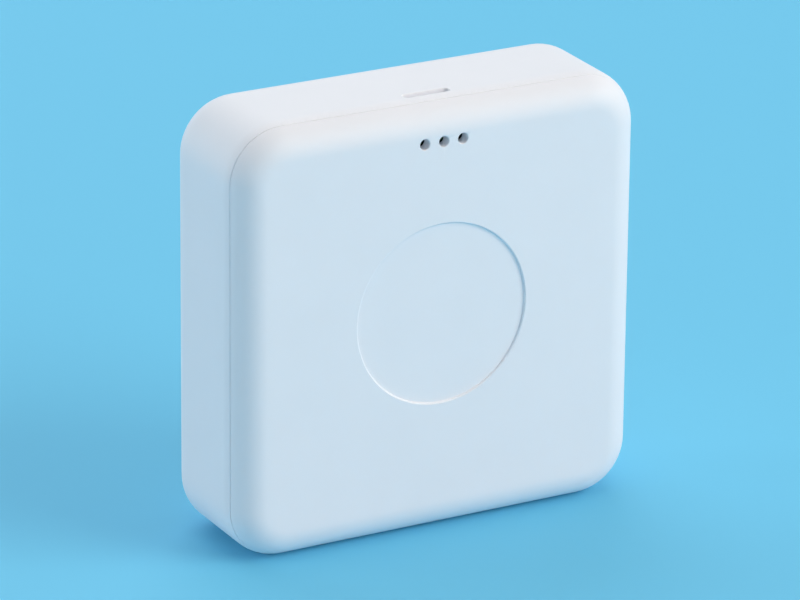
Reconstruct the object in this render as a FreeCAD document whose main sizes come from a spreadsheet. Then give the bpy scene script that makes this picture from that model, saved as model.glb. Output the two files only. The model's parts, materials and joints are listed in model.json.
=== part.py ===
# Thermometer hygrometer: a small square wall or desk sensor with a display.
# It stands on its lower edge with the display towards -Y and the snap-off back cover towards +Y.
# Frame: +Z up, origin at the middle of the lower edge, millimetres.
# The housing is sized from the inside out: two cells and their contacts set the width and height,
# and the display stack, one cell and the two walls set the depth.

import FreeCAD, Part
import math
import os
import re
import Sketcher

driving = {
    # housing walls and rounded edges
    "corner_radius": 7.6,
    "front_round": 4.0,
    "back_round": 4.4,
    "side_wall": 1.6,
    "front_wall": 1.8,
    "cover_wall": 1.6,
    "least_radius": 0.4,
    # seam and lap joint between shell and cover
    "seam_setback": 2.85,
    "seam_gap": 0.12,
    "lap_depth": 0.5,
    "lap_height": 2.0,
    "lap_clearance": 0.1,
    "lip_wall": 1.0,
    # latches: one in the open slot at the top, the others in blind pockets
    "slot_width": 6.8,
    "slot_height": 1.3,
    "slot_setback": 1.6,
    "hook_width": 6.0,
    "hook_wall": 1.1,
    "hook_tail": 1.2,
    "hook_spacing": 32.0,
    "top_reach": 0.9,
    "side_reach": 0.5,
    "pocket_clearance": 0.2,
    "catch_clearance": 0.1,
    "catch_slope": 0.5,
    # round recess and air holes in the cover
    "recess_diameter": 25.0,
    "recess_depth": 0.35,
    "recess_bevel": 0.25,
    "recess_rise": 1.0,
    "air_hole_diameter": 1.45,
    "air_hole_pitch": 2.81,
    "air_hole_drop": 5.14,
    # ribs inside the cover
    "cover_rib_wall": 0.8,
    "cover_rib_height": 0.6,
    # cells and their contacts
    "cell_diameter": 10.5,
    "cell_length": 44.5,
    "cell_nub_diameter": 3.8,
    "cell_nub_length": 1.0,
    "cell_edge": 0.3,
    "cell_gap": 0.8,
    "cell_clearance": 0.1,
    "cell_low_room": 1.95,
    "cell_high_room": 0.85,
    "contact_thick": 0.3,
    "contact_width": 6.6,
    "contact_height": 8.0,
    "contact_bump": 0.6,
    "contact_bump_diameter": 3.0,
    "contact_clearance": 0.05,
    "tail_width": 1.6,
    "tail_clearance": 0.1,
    "spring_length": 5.4,
    "spring_wire": 0.5,
    "spring_base_radius": 2.9,
    "spring_tip_radius": 1.5,
    "spring_turns": 3.0,
    "spring_sides": 8,
    "spring_clearance": 0.1,
    "pad_thick": 0.85,
    "pad_clearance": 0.2,
    "pad_width": 26.0,
    "pad_height": 14.0,
    # battery frame
    "frame_gap": 0.5,
    "frame_wall": 1.1,
    "frame_floor": 0.7,
    "flange_clearance": 1.0,
    "bay_radius": 2.5,
    "divider_wall": 1.1,
    "electronics_height": 25.5,
    "deck_depth": 3.15,
    "deck_thick": 1.0,
    "cradle_wall": 1.2,
    "cradle_spacing": 14.0,
    "cradle_drop": 1.5,
    "guide_wall": 0.8,
    "guide_reach": 0.9,
    # display stack
    "view_width": 41.4,
    "view_height": 38.4,
    "view_radius": 3.0,
    "display_rise": 0.6,
    "window_border": 1.6,
    "window_radius": 4.2,
    "window_thick": 0.9,
    "window_bevel": 0.15,
    "window_clearance": 0.08,
    "tape_thick": 0.15,
    "tape_width": 1.2,
    "gasket_thick": 0.6,
    "polarizer_thick": 0.2,
    "polarizer_border": 0.5,
    "glass_thick": 0.7,
    "glass_border": 1.1,
    "glass_radius": 0.3,
    "contact_ledge": 2.2,
    "reflector_thick": 0.3,
    "reflector_margin": 0.2,
    "holder_wall": 0.9,
    "holder_radius": 1.0,
    "holder_lip": 0.65,
    "holder_lip_width": 1.6,
    "holder_clearance": 0.2,
    "zebra_width": 1.5,
    "zebra_length": 40.0,
    # main board and what is on it
    "board_thick": 0.8,
    "board_clearance": 0.6,
    "boss_inset": 5.6,
    "boss_diameter": 4.0,
    "boss_rib_wall": 0.8,
    "boss_rib_drop": 0.8,
    "screw_diameter": 2.0,
    "screw_length": 4.2,
    "screw_head_diameter": 3.4,
    "screw_head_height": 1.1,
    "screw_head_bevel": 0.35,
    "screw_clearance": 0.15,
    "screw_access": 0.3,
    "screw_slot_length": 2.0,
    "screw_slot_width": 0.5,
    "screw_slot_depth": 0.5,
    "post_reach": 3.0,
    "radio_offset": 13.0,
    "radio_drop": 18.5,
    "radio_width": 14.0,
    "radio_height": 15.0,
    "radio_thick": 0.8,
    "shield_width": 12.0,
    "shield_height": 10.5,
    "shield_depth": 1.8,
    "shield_wall": 0.2,
    "chip_offset": 0.5,
    "chip_drop": 22.0,
    "chip_width": 7.0,
    "chip_thick": 0.9,
    "chip_bevel": 0.1,
    "crystal_offset": 8.2,
    "crystal_width": 3.2,
    "crystal_height": 2.5,
    "crystal_thick": 0.8,
    "crystal_round": 0.2,
    "small_part_count": 6,
    "small_part_pitch": 2.4,
    "small_part_length": 1.6,
    "small_part_width": 0.8,
    "capacitor_thick": 0.8,
    "capacitor_drop": 15.6,
    "resistor_thick": 0.5,
    "resistor_drop": 13.6,
    # sensor board behind the air holes
    "sensor_board_width": 10.4,
    "sensor_board_height": 8.0,
    "sensor_board_rise": 2.0,
    "sensor_board_thick": 0.8,
    "sensor_chip_width": 2.5,
    "sensor_chip_thick": 0.9,
    "sensor_port_diameter": 0.9,
    "sensor_port_depth": 0.3,
    "sensor_gasket_width": 9.6,
    "sensor_gasket_height": 3.8,
    "sensor_gasket_wall": 0.6,
    "sensor_gasket_clearance": 0.1,
    "pin_count": 4,
    "pin_pitch": 2.0,
    "pin_width": 0.5,
    "pin_drop": 4.66,
    "pin_tip": 0.5,
    "pin_clearance": 0.05,
    "header_width": 2.0,
    "header_height": 2.2,
    "peg_diameter": 0.9,
    "peg_offset": 4.3,
    "peg_drop": 2.86,
    "peg_tip": 0.3,
    # pairing switch and its button
    "button_offset": 15.0,
    "button_drop": 18.0,
    "button_diameter": 4.0,
    "button_rise": 0.7,
    "button_flange": 0.8,
    "button_flange_height": 0.8,
    "button_stem_diameter": 2.4,
    "button_clearance": 0.1,
    "button_travel": 0.3,
    "switch_width": 4.5,
    "switch_body_height": 2.0,
    "switch_floor": 0.6,
    "switch_cover_thick": 0.2,
    "switch_cavity_diameter": 3.4,
    "dome_diameter": 3.0,
    "dome_thick": 0.12,
    "plunger_diameter": 1.8,
    "plunger_flange_diameter": 2.7,
    "plunger_flange_height": 0.5,
    "plunger_rise": 1.0,
    "plunger_clearance": 0.05,
}

doc = FreeCAD.newDocument("thermometer_hygrometer")
sheet = doc.addObject("Spreadsheet::Sheet", "sizes")
for row, (alias, number) in enumerate(driving.items(), start=1):
    sheet.set(f"A{row}", alias)
    sheet.set(f"B{row}", str(number))
    sheet.setAlias(f"B{row}", alias)
doc.recompute()

nodes = []


def formula(text):
    """Write an expression on the sheet's cells from one on their plain names."""
    def cell_name(word):
        return f"sizes.{word[0]}" if word[0] in driving else word[0]
    return re.sub(r"[a-z][a-z_]*", cell_name, str(text))


def size(text):
    """Work out an expression now, for starting positions and for shapes made in code."""
    return float(sheet.evalExpression(formula(text)))


def new_body(name):
    body = doc.addObject("PartDesign::Body", name)
    body.Label = name
    body.AllowCompound = True
    nodes.append(body)
    return body


def tie(sketch, kind, geometry, point, text):
    """Set how far a point lies from the sketch's origin, along X or along Y."""
    index = sketch.addConstraint(Sketcher.Constraint(kind, -1, 1, geometry, point, size(text)))
    sketch.setExpression(f"Constraints[{index}]", formula(text))


def line(sketch, start, end):
    return sketch.addGeometry(Part.LineSegment(FreeCAD.Vector(*start, 0), FreeCAD.Vector(*end, 0)), False)


def polygon(points):
    """A closed outline whose corners are all given as expressions."""
    def draw(sketch):
        places = [(size(x), size(y)) for x, y in points]
        sides = [line(sketch, places[i - 1], places[i]) for i in range(len(places))]
        for i, side in enumerate(sides):
            following = sides[(i + 1) % len(sides)]
            sketch.addConstraint(Sketcher.Constraint("Coincident", side, 2, following, 1))
            tie(sketch, "DistanceX", side, 2, points[i][0])
            tie(sketch, "DistanceY", side, 2, points[i][1])
    return draw


def box(left, right, low, high):
    return polygon([(left, low), (right, low), (right, high), (left, high)])


def centred_box(x, y, width, height):
    return box(f"{x} - {width} / 2", f"{x} + {width} / 2", f"{y} - {height} / 2", f"{y} + {height} / 2")


def circle(x, y, diameter):
    def draw(sketch):
        middle = FreeCAD.Vector(size(x), size(y), 0)
        ring = Part.Circle(middle, FreeCAD.Vector(0, 0, 1), size(diameter) / 2)
        geometry = sketch.addGeometry(ring, False)
        tie(sketch, "DistanceX", geometry, 3, x)
        tie(sketch, "DistanceY", geometry, 3, y)
        index = sketch.addConstraint(Sketcher.Constraint("Diameter", geometry, size(diameter)))
        sketch.setExpression(f"Constraints[{index}]", formula(diameter))
    return draw


def rounded(left, right, low, high, radius):
    """A rectangle with four equal round corners, drawn as lines joined by tangent arcs."""
    def draw(sketch):
        x0, x1, y0, y1, r = size(left), size(right), size(low), size(high), size(radius)
        centres = [(x1 - r, y0 + r), (x1 - r, y1 - r), (x0 + r, y1 - r), (x0 + r, y0 + r)]
        starts = [(x0 + r, y0), (x1, y0 + r), (x1 - r, y1), (x0, y1 - r)]
        ends = [(x1 - r, y0), (x1, y1 - r), (x0 + r, y1), (x0, y0 + r)]
        sides = []
        arcs = []
        for i in range(4):
            sides.append(line(sketch, starts[i], ends[i]))
            ring = Part.Circle(FreeCAD.Vector(*centres[i], 0), FreeCAD.Vector(0, 0, 1), r)
            turn = (i - 1) * math.pi / 2
            arcs.append(sketch.addGeometry(Part.ArcOfCircle(ring, turn, turn + math.pi / 2), False))
        for i in range(4):
            sketch.addConstraint(Sketcher.Constraint("Tangent", sides[i], 2, arcs[i], 1))
            sketch.addConstraint(Sketcher.Constraint("Tangent", arcs[i], 2, sides[(i + 1) % 4], 1))
            sketch.addConstraint(Sketcher.Constraint("Vertical" if i % 2 else "Horizontal", sides[i]))
            if i:
                sketch.addConstraint(Sketcher.Constraint("Equal", arcs[0], arcs[i]))
        index = sketch.addConstraint(Sketcher.Constraint("Radius", arcs[0], r))
        sketch.setExpression(f"Constraints[{index}]", formula(radius))
        tie(sketch, "DistanceY", sides[0], 1, low)
        tie(sketch, "DistanceX", sides[1], 1, right)
        tie(sketch, "DistanceY", sides[2], 1, high)
        tie(sketch, "DistanceX", sides[3], 1, left)
    return draw


def new_sketch(body, plane, loops, offset="0", shift=("0", "0")):
    """Draw loops on one of the body's own origin planes, moved along and across that plane."""
    sketch = body.newObject("Sketcher::SketchObject", f"{body.Name}_sketch")
    origin_plane = next(item for item in body.Origin.OriginFeatures if item.Role == plane)
    sketch.AttachmentSupport = [(origin_plane, "")]
    sketch.MapMode = "FlatFace"
    along = f"-({offset})" if plane == "XZ_Plane" else offset
    sketch.setExpression("AttachmentOffset.Base.x", formula(shift[0]))
    sketch.setExpression("AttachmentOffset.Base.y", formula(shift[1]))
    sketch.setExpression("AttachmentOffset.Base.z", formula(along))
    for draw in loops:
        draw(sketch)
    return sketch


def extrude(body, plane, start, end, loops, cut=False):
    """Pad or pocket loops between two places on the axis that the plane faces."""
    sketch = new_sketch(body, plane, loops, start)
    kind = "Pocket" if cut else "Pad"
    feature = body.newObject(f"PartDesign::{kind}", f"{body.Name}_{kind.lower()}")
    feature.Profile = sketch
    feature.setExpression("Length", formula(f"({end}) - ({start})"))
    feature.Reversed = (plane == "XZ_Plane") != cut
    return feature


def revolve(body, plane, loops, axis, offset="0", shift=("0", "0")):
    sketch = new_sketch(body, plane, loops, offset, shift)
    feature = body.newObject("PartDesign::Revolution", f"{body.Name}_revolution")
    feature.Profile = sketch
    feature.ReferenceAxis = (sketch, [axis])
    feature.Angle = 360
    return feature


def round_edges(body, radius, wanted, kind="Fillet"):
    """Fillet or chamfer the edges of the body so far that pass a test."""
    doc.recompute()
    base = body.Tip
    names = [f"Edge{i}" for i, edge in enumerate(base.Shape.Edges, start=1) if wanted(edge.BoundBox)]
    feature = body.newObject(f"PartDesign::{kind}", f"{body.Name}_{kind.lower()}")
    feature.Base = (base, names)
    feature.setExpression("Radius" if kind == "Fillet" else "Size", formula(radius))
    return feature


def lies_at(place, within=None):
    """A test for edges that lie in the plane Y = place, and within a distance of the middle."""
    def wanted(bounds):
        flat = abs(bounds.YMin - size(place)) < 0.001 and abs(bounds.YMax - size(place)) < 0.001
        return flat and (within is None or max(abs(bounds.XMin), abs(bounds.XMax)) < size(within))
    return wanted


# Overall sizes, worked out from the inside
frame_inset = "(side_wall + lap_clearance + hook_wall + frame_gap)"
bay_inset = f"({frame_inset} + frame_wall)"
bay_length = ("(cell_length + 2 * contact_thick + contact_bump + 2 * contact_clearance"
              " + spring_length)")
bay_height = "(cell_low_room + 2 * cell_diameter + cell_gap + cell_high_room)"
body_width = f"({bay_length} + 2 * {bay_inset})"
body_height = f"({bay_height} + divider_wall + electronics_height + 2 * {bay_inset})"

# Places along Y, from the front wall to the cell, and from there to the back
front_stack = "(front_wall + gasket_thick + 2 * glass_thick + reflector_thick + holder_lip)"
cell_stack = "(board_thick + frame_floor + cell_clearance + cell_diameter)"
body_depth = f"({front_stack} + {cell_stack} + pad_clearance + pad_thick + cover_wall)"
front_face = f"(-{body_depth} / 2)"
back_face = f"({body_depth} / 2)"
window_rear = f"({front_face} + window_thick)"
tape_rear = f"({window_rear} + tape_thick)"
front_inner = f"({front_face} + front_wall)"
glass_front = f"({front_inner} + gasket_thick)"
front_glass_rear = f"({glass_front} + glass_thick)"
rear_glass_rear = f"({front_glass_rear} + glass_thick)"
reflector_rear = f"({rear_glass_rear} + reflector_thick)"
board_front = f"({reflector_rear} + holder_lip)"
board_rear = f"({board_front} + board_thick)"
floor_rear = f"({board_rear} + frame_floor)"
cell_axis = f"({floor_rear} + cell_clearance + cell_diameter / 2)"
cell_rear = f"({cell_axis} + cell_diameter / 2)"
cover_inner = f"({back_face} - cover_wall)"
deck_rear = f"({cover_inner} - deck_depth)"
deck_front = f"({deck_rear} - deck_thick)"
seam = f"({back_face} - seam_setback)"

# Heights
half_width = f"({body_width} / 2)"
middle_height = f"({body_height} / 2)"
display_height = f"({middle_height} + display_rise)"
recess_height = f"({middle_height} + recess_rise)"
air_hole_height = f"({body_height} - air_hole_drop)"
bay_low = bay_inset
bay_high = f"({bay_low} + {bay_height})"
lower_cell_height = f"({bay_low} + cell_low_room + cell_diameter / 2)"
upper_cell_height = f"({lower_cell_height} + cell_diameter + cell_gap)"
electronics_low = f"({bay_high} + divider_wall)"
electronics_high = f"({body_height} - {bay_inset})"
screw_places = [
    (f"{side} * ({half_width} - boss_inset)", height)
    for side in ("1", "-1")
    for height in ("boss_inset", f"({body_height} - boss_inset)")
]


# How far a cut runs past what it cuts, and where ribs and hooks take root inside the wall behind them
past = "1"
boss_foot = f"({front_inner} - front_wall / 8)"
cover_root = f"({cover_inner} + cover_wall / 4)"
floor_root = f"({floor_rear} - frame_floor / 4)"


def outline(inset):
    """The body's rounded square, drawn in by a distance."""
    return rounded(
        f"{inset} - {half_width}",
        f"{half_width} - {inset}",
        inset,
        f"{body_height} - {inset}",
        f"max(corner_radius - {inset}; least_radius)",
    )


def envelope(body):
    """The whole outside: a rounded square along Y with rounded front and back edges."""
    extrude(body, "XZ_Plane", front_face, back_face, [outline("0")])
    round_edges(body, "front_round", lies_at(front_face))
    round_edges(body, "back_round", lies_at(back_face))


# Latches, drawn in (inset from the outside, Y) and turned to the side that they are on
latch_back = f"({seam} - slot_setback)"
latch_front = f"({latch_back} - slot_height)"
hook_end = f"({latch_front} - hook_tail)"
hook_outer = "(side_wall + lap_clearance)"
hook_inner = "(side_wall + lap_clearance + hook_wall)"
sides = {
    "top": ("YZ_Plane", lambda inset, y: (y, f"{body_height} - ({inset})")),
    "bottom": ("YZ_Plane", lambda inset, y: (y, inset)),
    "right": ("XY_Plane", lambda inset, y: (f"{half_width} - ({inset})", y)),
    "left": ("XY_Plane", lambda inset, y: (f"({inset}) - {half_width}", y)),
}
latches = [
    ("top", "0", "top_reach"),
    ("bottom", "-hook_spacing / 2", "side_reach"),
    ("bottom", "hook_spacing / 2", "side_reach"),
    ("right", middle_height, "side_reach"),
    ("left", middle_height, "side_reach"),
]


def latch_pocket(body, side, place, reach):
    """The slot or pocket in the shell that a catch snaps into."""
    plane, turned = sides[side]
    outer = f"-{past}" if side == "top" else f"side_wall - {reach} - pocket_clearance"
    inner = "side_wall + pocket_clearance"
    corners = [(outer, latch_front), (inner, latch_front), (inner, latch_back), (outer, latch_back)]
    loop = polygon([turned(inset, y) for inset, y in corners])
    extrude(body, plane, f"{place} - slot_width / 2", f"{place} + slot_width / 2", [loop], cut=True)


def latch_hook(body, side, place, reach):
    """The springy tongue on the cover with its sloped catch."""
    plane, turned = sides[side]
    catch_back = f"{latch_back} - catch_clearance"
    catch_front = f"{latch_front} + catch_clearance"
    top_of_catch = f"side_wall - {reach}"
    corners = [
        (hook_inner, hook_end),
        (hook_inner, cover_root),
        (hook_outer, cover_root),
        (hook_outer, catch_back),
        (top_of_catch, catch_back),
        (top_of_catch, f"{catch_front} + catch_slope"),
        (hook_outer, catch_front),
        (hook_outer, hook_end),
    ]
    loop = polygon([turned(inset, y) for inset, y in corners])
    extrude(body, plane, f"{place} - hook_width / 2", f"{place} + hook_width / 2", [loop])


def front_shell():
    body = new_body("front_shell")
    envelope(body)
    extrude(body, "XZ_Plane", seam, f"{back_face} + {past}", [outline(f"-{past}")], cut=True)
    extrude(body, "XZ_Plane", front_inner, seam, [outline("side_wall")], cut=True)
    round_edges(body, "max(front_round - front_wall; least_radius)", lies_at(front_inner))
    rebate_start = f"{seam} - lap_height - lap_clearance"
    extrude(body, "XZ_Plane", rebate_start, seam, [outline("(side_wall - lap_depth)")], cut=True)
    bosses = [circle(x, z, "boss_diameter") for x, z in screw_places]
    rib_inset = "(side_wall + lap_clearance)"
    extrude(body, "XZ_Plane", boss_foot, board_front, bosses)
    for side in ("1", "-1"):
        for end, height in (("0", "boss_inset"), (body_height, f"({body_height} - boss_inset)")):
            wall = f"{side} * ({half_width} - {rib_inset})"
            middle = f"{side} * ({half_width} - boss_inset)"
            left, right = (middle, wall) if side == "1" else (wall, middle)
            rib = box(left, right, f"{height} - boss_rib_wall / 2", f"{height} + boss_rib_wall / 2")
            extrude(body, "XZ_Plane", boss_foot, f"{board_front} - boss_rib_drop", [rib])
            edge = rib_inset if end == "0" else f"{body_height} - {rib_inset}"
            low, high = (edge, height) if end == "0" else (height, edge)
            rib = box(f"{middle} - boss_rib_wall / 2", f"{middle} + boss_rib_wall / 2", low, high)
            extrude(body, "XZ_Plane", boss_foot, f"{board_front} - boss_rib_drop", [rib])
    bores = [circle(x, z, "screw_diameter + screw_clearance") for x, z in screw_places]
    extrude(body, "XZ_Plane", front_inner, board_front, bores, cut=True)
    recess = display_outline("window_border + window_clearance", "window_radius + window_clearance")
    extrude(body, "XZ_Plane", front_face, tape_rear, [recess], cut=True)
    extrude(body, "XZ_Plane", front_face, front_inner, [display_outline("0", "view_radius")], cut=True)
    for latch in latches:
        latch_pocket(body, *latch)


def display_outline(border, radius, extra_low="0"):
    """The display's opening, grown by a border, and by more at its lower edge."""
    return rounded(
        f"-view_width / 2 - ({border})",
        f"view_width / 2 + ({border})",
        f"{display_height} - view_height / 2 - ({border}) - ({extra_low})",
        f"{display_height} + view_height / 2 + ({border})",
        radius,
    )


def back_cover():
    body = new_body("back_cover")
    envelope(body)
    cover_start = f"({seam} + seam_gap)"
    extrude(body, "XZ_Plane", f"{front_face} - {past}", cover_start, [outline(f"-{past}")], cut=True)
    lip_outer = "(side_wall - lap_depth + lap_clearance)"
    lip_inner = "(side_wall - lap_depth + lap_clearance + lip_wall)"
    extrude(body, "XZ_Plane", cover_start, cover_inner, [outline(lip_inner)], cut=True)
    lip = [outline(lip_outer), outline(lip_inner)]
    extrude(body, "XZ_Plane", f"{seam} - lap_height", f"{cover_start} + cover_wall / 4", lip)
    for latch in latches:
        latch_hook(body, *latch)
    half_gasket = "sensor_gasket_width / 2 + sensor_gasket_clearance"
    half_tall = "sensor_gasket_height / 2 + sensor_gasket_clearance"
    collar = [
        box(
            f"-({half_gasket} + {wall})",
            f"{half_gasket} + {wall}",
            f"{air_hole_height} - ({half_tall} + {wall})",
            f"{air_hole_height} + {half_tall} + {wall}",
        )
        for wall in ("cover_rib_wall", "0")
    ]
    extrude(body, "XZ_Plane", f"{cover_inner} - cover_rib_height", cover_root, collar)
    pad_height = f"({lower_cell_height} + cell_diameter / 2 + cell_gap / 2)"
    fence = [
        box(
            f"-(pad_width / 2 + sensor_gasket_clearance + {wall})",
            f"pad_width / 2 + sensor_gasket_clearance + {wall}",
            f"{pad_height} - (pad_height / 2 + sensor_gasket_clearance + {wall})",
            f"{pad_height} + pad_height / 2 + sensor_gasket_clearance + {wall}",
        )
        for wall in ("cover_rib_wall", "0")
    ]
    extrude(body, "XZ_Plane", f"{cover_inner} - cover_rib_height", cover_root, fence)
    recess = [circle("0", recess_height, "recess_diameter")]
    extrude(body, "XZ_Plane", f"{back_face} - recess_depth", back_face, recess, cut=True)
    recess_edge = lies_at(back_face, "recess_diameter / 2 + side_wall")
    round_edges(body, "recess_bevel", recess_edge, kind="Chamfer")
    holes = [circle(f"{i} * air_hole_pitch", air_hole_height, "air_hole_diameter") for i in (-1, 0, 1)]
    extrude(body, "XZ_Plane", cover_inner, back_face, holes, cut=True)

    pad = new_body("cover_foam_pad")
    loop = centred_box("0", pad_height, "pad_width", "pad_height")
    extrude(pad, "XZ_Plane", f"{cell_rear} + pad_clearance", cover_inner, [loop])


def display():
    window = new_body("display_window")
    loop = display_outline("window_border", "window_radius")
    extrude(window, "XZ_Plane", front_face, window_rear, [loop])
    round_edges(window, "window_bevel", lies_at(front_face), kind="Chamfer")

    tape = new_body("window_tape")
    ring = [
        display_outline("window_border", "window_radius"),
        display_outline("window_border - tape_width", "view_radius + window_border - tape_width"),
    ]
    extrude(tape, "XZ_Plane", window_rear, tape_rear, ring)

    gasket = new_body("lcd_gasket")
    ring = [
        display_outline("glass_border", "glass_radius"),
        display_outline("polarizer_border + window_clearance", "glass_radius"),
    ]
    extrude(gasket, "XZ_Plane", front_inner, glass_front, ring)

    polarizer = new_body("lcd_front_polarizer")
    loop = display_outline("polarizer_border", "glass_radius")
    extrude(polarizer, "XZ_Plane", f"{glass_front} - polarizer_thick", glass_front, [loop])

    glass = new_body("lcd_front_glass")
    loop = display_outline("glass_border", "glass_radius", extra_low="contact_ledge")
    extrude(glass, "XZ_Plane", glass_front, front_glass_rear, [loop])

    glass = new_body("lcd_rear_glass")
    loop = display_outline("glass_border", "glass_radius")
    extrude(glass, "XZ_Plane", front_glass_rear, rear_glass_rear, [loop])

    reflector = new_body("lcd_reflector")
    loop = display_outline("glass_border - reflector_margin", "glass_radius")
    extrude(reflector, "XZ_Plane", rear_glass_rear, reflector_rear, [loop])

    holder = new_body("lcd_holder")
    pocket_border = "glass_border + holder_clearance"
    holder_front = f"({front_inner} + window_clearance)"
    loop = display_outline(
        f"{pocket_border} + holder_wall",
        "holder_radius + holder_wall",
        extra_low="contact_ledge",
    )
    extrude(holder, "XZ_Plane", holder_front, board_front, [loop])
    loop = display_outline(pocket_border, "glass_radius", extra_low="contact_ledge")
    extrude(holder, "XZ_Plane", holder_front, reflector_rear, [loop], cut=True)
    loop = display_outline(f"{pocket_border} - holder_lip_width", "holder_radius")
    extrude(holder, "XZ_Plane", reflector_rear, board_front, [loop], cut=True)
    glass_low = f"({display_height} - view_height / 2 - glass_border)"
    zebra_height = f"({glass_low} - contact_ledge / 2)"
    slot_length = "(zebra_length + holder_clearance)"
    slot = centred_box("0", zebra_height, slot_length, "(zebra_width + holder_clearance)")
    extrude(holder, "XZ_Plane", reflector_rear, board_front, [slot], cut=True)

    strip = new_body("zebra_strip")
    loop = centred_box("0", zebra_height, "zebra_length", "zebra_width")
    extrude(strip, "XZ_Plane", front_glass_rear, board_front, [loop])


# Places of what stands on the rear of the main board
pin_height = f"({air_hole_height} - pin_drop)"
pin_places = [f"({i} - (pin_count - 1) / 2) * pin_pitch" for i in range(int(driving["pin_count"]))]
button_x = "button_offset"
button_height = f"({body_height} - button_drop)"
plate_face = f"({bay_length} / 2 - contact_thick)"
tails = [("-1", lower_cell_height), ("1", lower_cell_height), ("1", upper_cell_height)]


def pin_loops(clearance):
    width = f"(pin_width + 2 * {clearance})"
    return [centred_box(x, pin_height, width, width) for x in pin_places]


def tail_loops(clearance):
    """Slots or tails of the contacts that are soldered to the board, at the ends of the bay."""
    loops = []
    for side, height in tails:
        inner = f"{side} * ({plate_face} - {clearance})"
        outer = f"{side} * ({plate_face} + contact_thick + {clearance})"
        left, right = (inner, outer) if side == "1" else (outer, inner)
        half = f"(tail_width / 2 + {clearance})"
        loops.append(box(left, right, f"{height} - {half}", f"{height} + {half}"))
    return loops


def boards():
    board = new_body("main_board")
    extrude(board, "XZ_Plane", board_front, board_rear, [outline("(side_wall + board_clearance)")])
    holes = [circle(x, z, "screw_diameter + screw_clearance") for x, z in screw_places]
    holes += pin_loops("pin_clearance") + tail_loops("tail_clearance")
    extrude(board, "XZ_Plane", board_front, board_rear, holes, cut=True)

    radio_height = f"({body_height} - radio_drop)"
    radio = new_body("radio_board")
    radio_rear = f"({board_rear} + radio_thick)"
    loop = centred_box("-radio_offset", radio_height, "radio_width", "radio_height")
    extrude(radio, "XZ_Plane", board_rear, radio_rear, [loop])

    shield = new_body("radio_shield")
    low_edge = f"({radio_height} - radio_height / 2 + (radio_width - shield_width) / 2)"
    shield_height = f"({low_edge} + shield_height / 2)"
    shield_rear = f"({radio_rear} + shield_depth)"
    loop = centred_box("-radio_offset", shield_height, "shield_width", "shield_height")
    extrude(shield, "XZ_Plane", radio_rear, shield_rear, [loop])
    hollow = centred_box(
        "-radio_offset",
        shield_height,
        "(shield_width - 2 * shield_wall)",
        "(shield_height - 2 * shield_wall)",
    )
    extrude(shield, "XZ_Plane", radio_rear, f"{shield_rear} - shield_wall", [hollow], cut=True)
    round_edges(shield, "shield_wall", lies_at(shield_rear))

    chip_height = f"({body_height} - chip_drop)"
    chip = new_body("controller_chip")
    loop = centred_box("chip_offset", chip_height, "chip_width", "chip_width")
    extrude(chip, "XZ_Plane", board_rear, f"{board_rear} + chip_thick", [loop])
    round_edges(chip, "chip_bevel", lies_at(f"({board_rear} + chip_thick)"), kind="Chamfer")

    crystal = new_body("crystal")
    loop = centred_box("crystal_offset", chip_height, "crystal_width", "crystal_height")
    extrude(crystal, "XZ_Plane", board_rear, f"{board_rear} + crystal_thick", [loop])
    round_edges(crystal, "crystal_round", lies_at(f"({board_rear} + crystal_thick)"))

    for name, thick, drop in (
        ("chip_capacitors", "capacitor_thick", "capacitor_drop"),
        ("chip_resistors", "resistor_thick", "resistor_drop"),
    ):
        group = new_body(name)
        start = "(chip_offset - chip_width / 2 + small_part_length / 2)"
        loops = [
            centred_box(
                f"{start} + {i} * small_part_pitch",
                f"({body_height} - {drop})",
                "small_part_length",
                "small_part_width",
            )
            for i in range(int(driving["small_part_count"]))
        ]
        extrude(group, "XZ_Plane", board_rear, f"{board_rear} + {thick}", loops)


def sensor():
    sensor_rear = f"({deck_rear} + sensor_board_thick)"
    board_high = f"({air_hole_height} + sensor_board_rise)"
    peg_height = f"({air_hole_height} - peg_drop)"
    board = new_body("sensor_board")
    half_board = "sensor_board_width / 2"
    loop = box(f"-{half_board}", half_board, f"{board_high} - sensor_board_height", board_high)
    extrude(board, "XZ_Plane", deck_rear, sensor_rear, [loop])
    holes = [
        circle(f"{side} * peg_offset", peg_height, "peg_diameter + 2 * pin_clearance")
        for side in (-1, 1)
    ]
    extrude(board, "XZ_Plane", deck_rear, sensor_rear, holes + pin_loops("pin_clearance"), cut=True)

    chip = new_body("sensor_chip")
    chip_rear = f"({sensor_rear} + sensor_chip_thick)"
    loop = centred_box("0", air_hole_height, "sensor_chip_width", "sensor_chip_width")
    extrude(chip, "XZ_Plane", sensor_rear, chip_rear, [loop])
    port = circle("0", air_hole_height, "sensor_port_diameter")
    extrude(chip, "XZ_Plane", f"{chip_rear} - sensor_port_depth", chip_rear, [port], cut=True)

    gasket = new_body("sensor_gasket")
    ring = [
        centred_box(
            "0",
            air_hole_height,
            f"(sensor_gasket_width - 2 * {wall})",
            f"(sensor_gasket_height - 2 * {wall})",
        )
        for wall in ("0", "sensor_gasket_wall")
    ]
    extrude(gasket, "XZ_Plane", sensor_rear, f"{cover_inner} - sensor_gasket_clearance", ring)

    pins = new_body("sensor_pins")
    extrude(pins, "XZ_Plane", board_front, f"{sensor_rear} + pin_tip", pin_loops("0"))

    header = new_body("sensor_header_block")
    block = centred_box("0", pin_height, "(pin_count * pin_pitch)", "header_width")
    extrude(header, "XZ_Plane", board_rear, f"{board_rear} + header_height", [block])
    extrude(
        header,
        "XZ_Plane",
        board_rear,
        f"{board_rear} + header_height",
        pin_loops("pin_clearance"),
        cut=True,
    )


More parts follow.
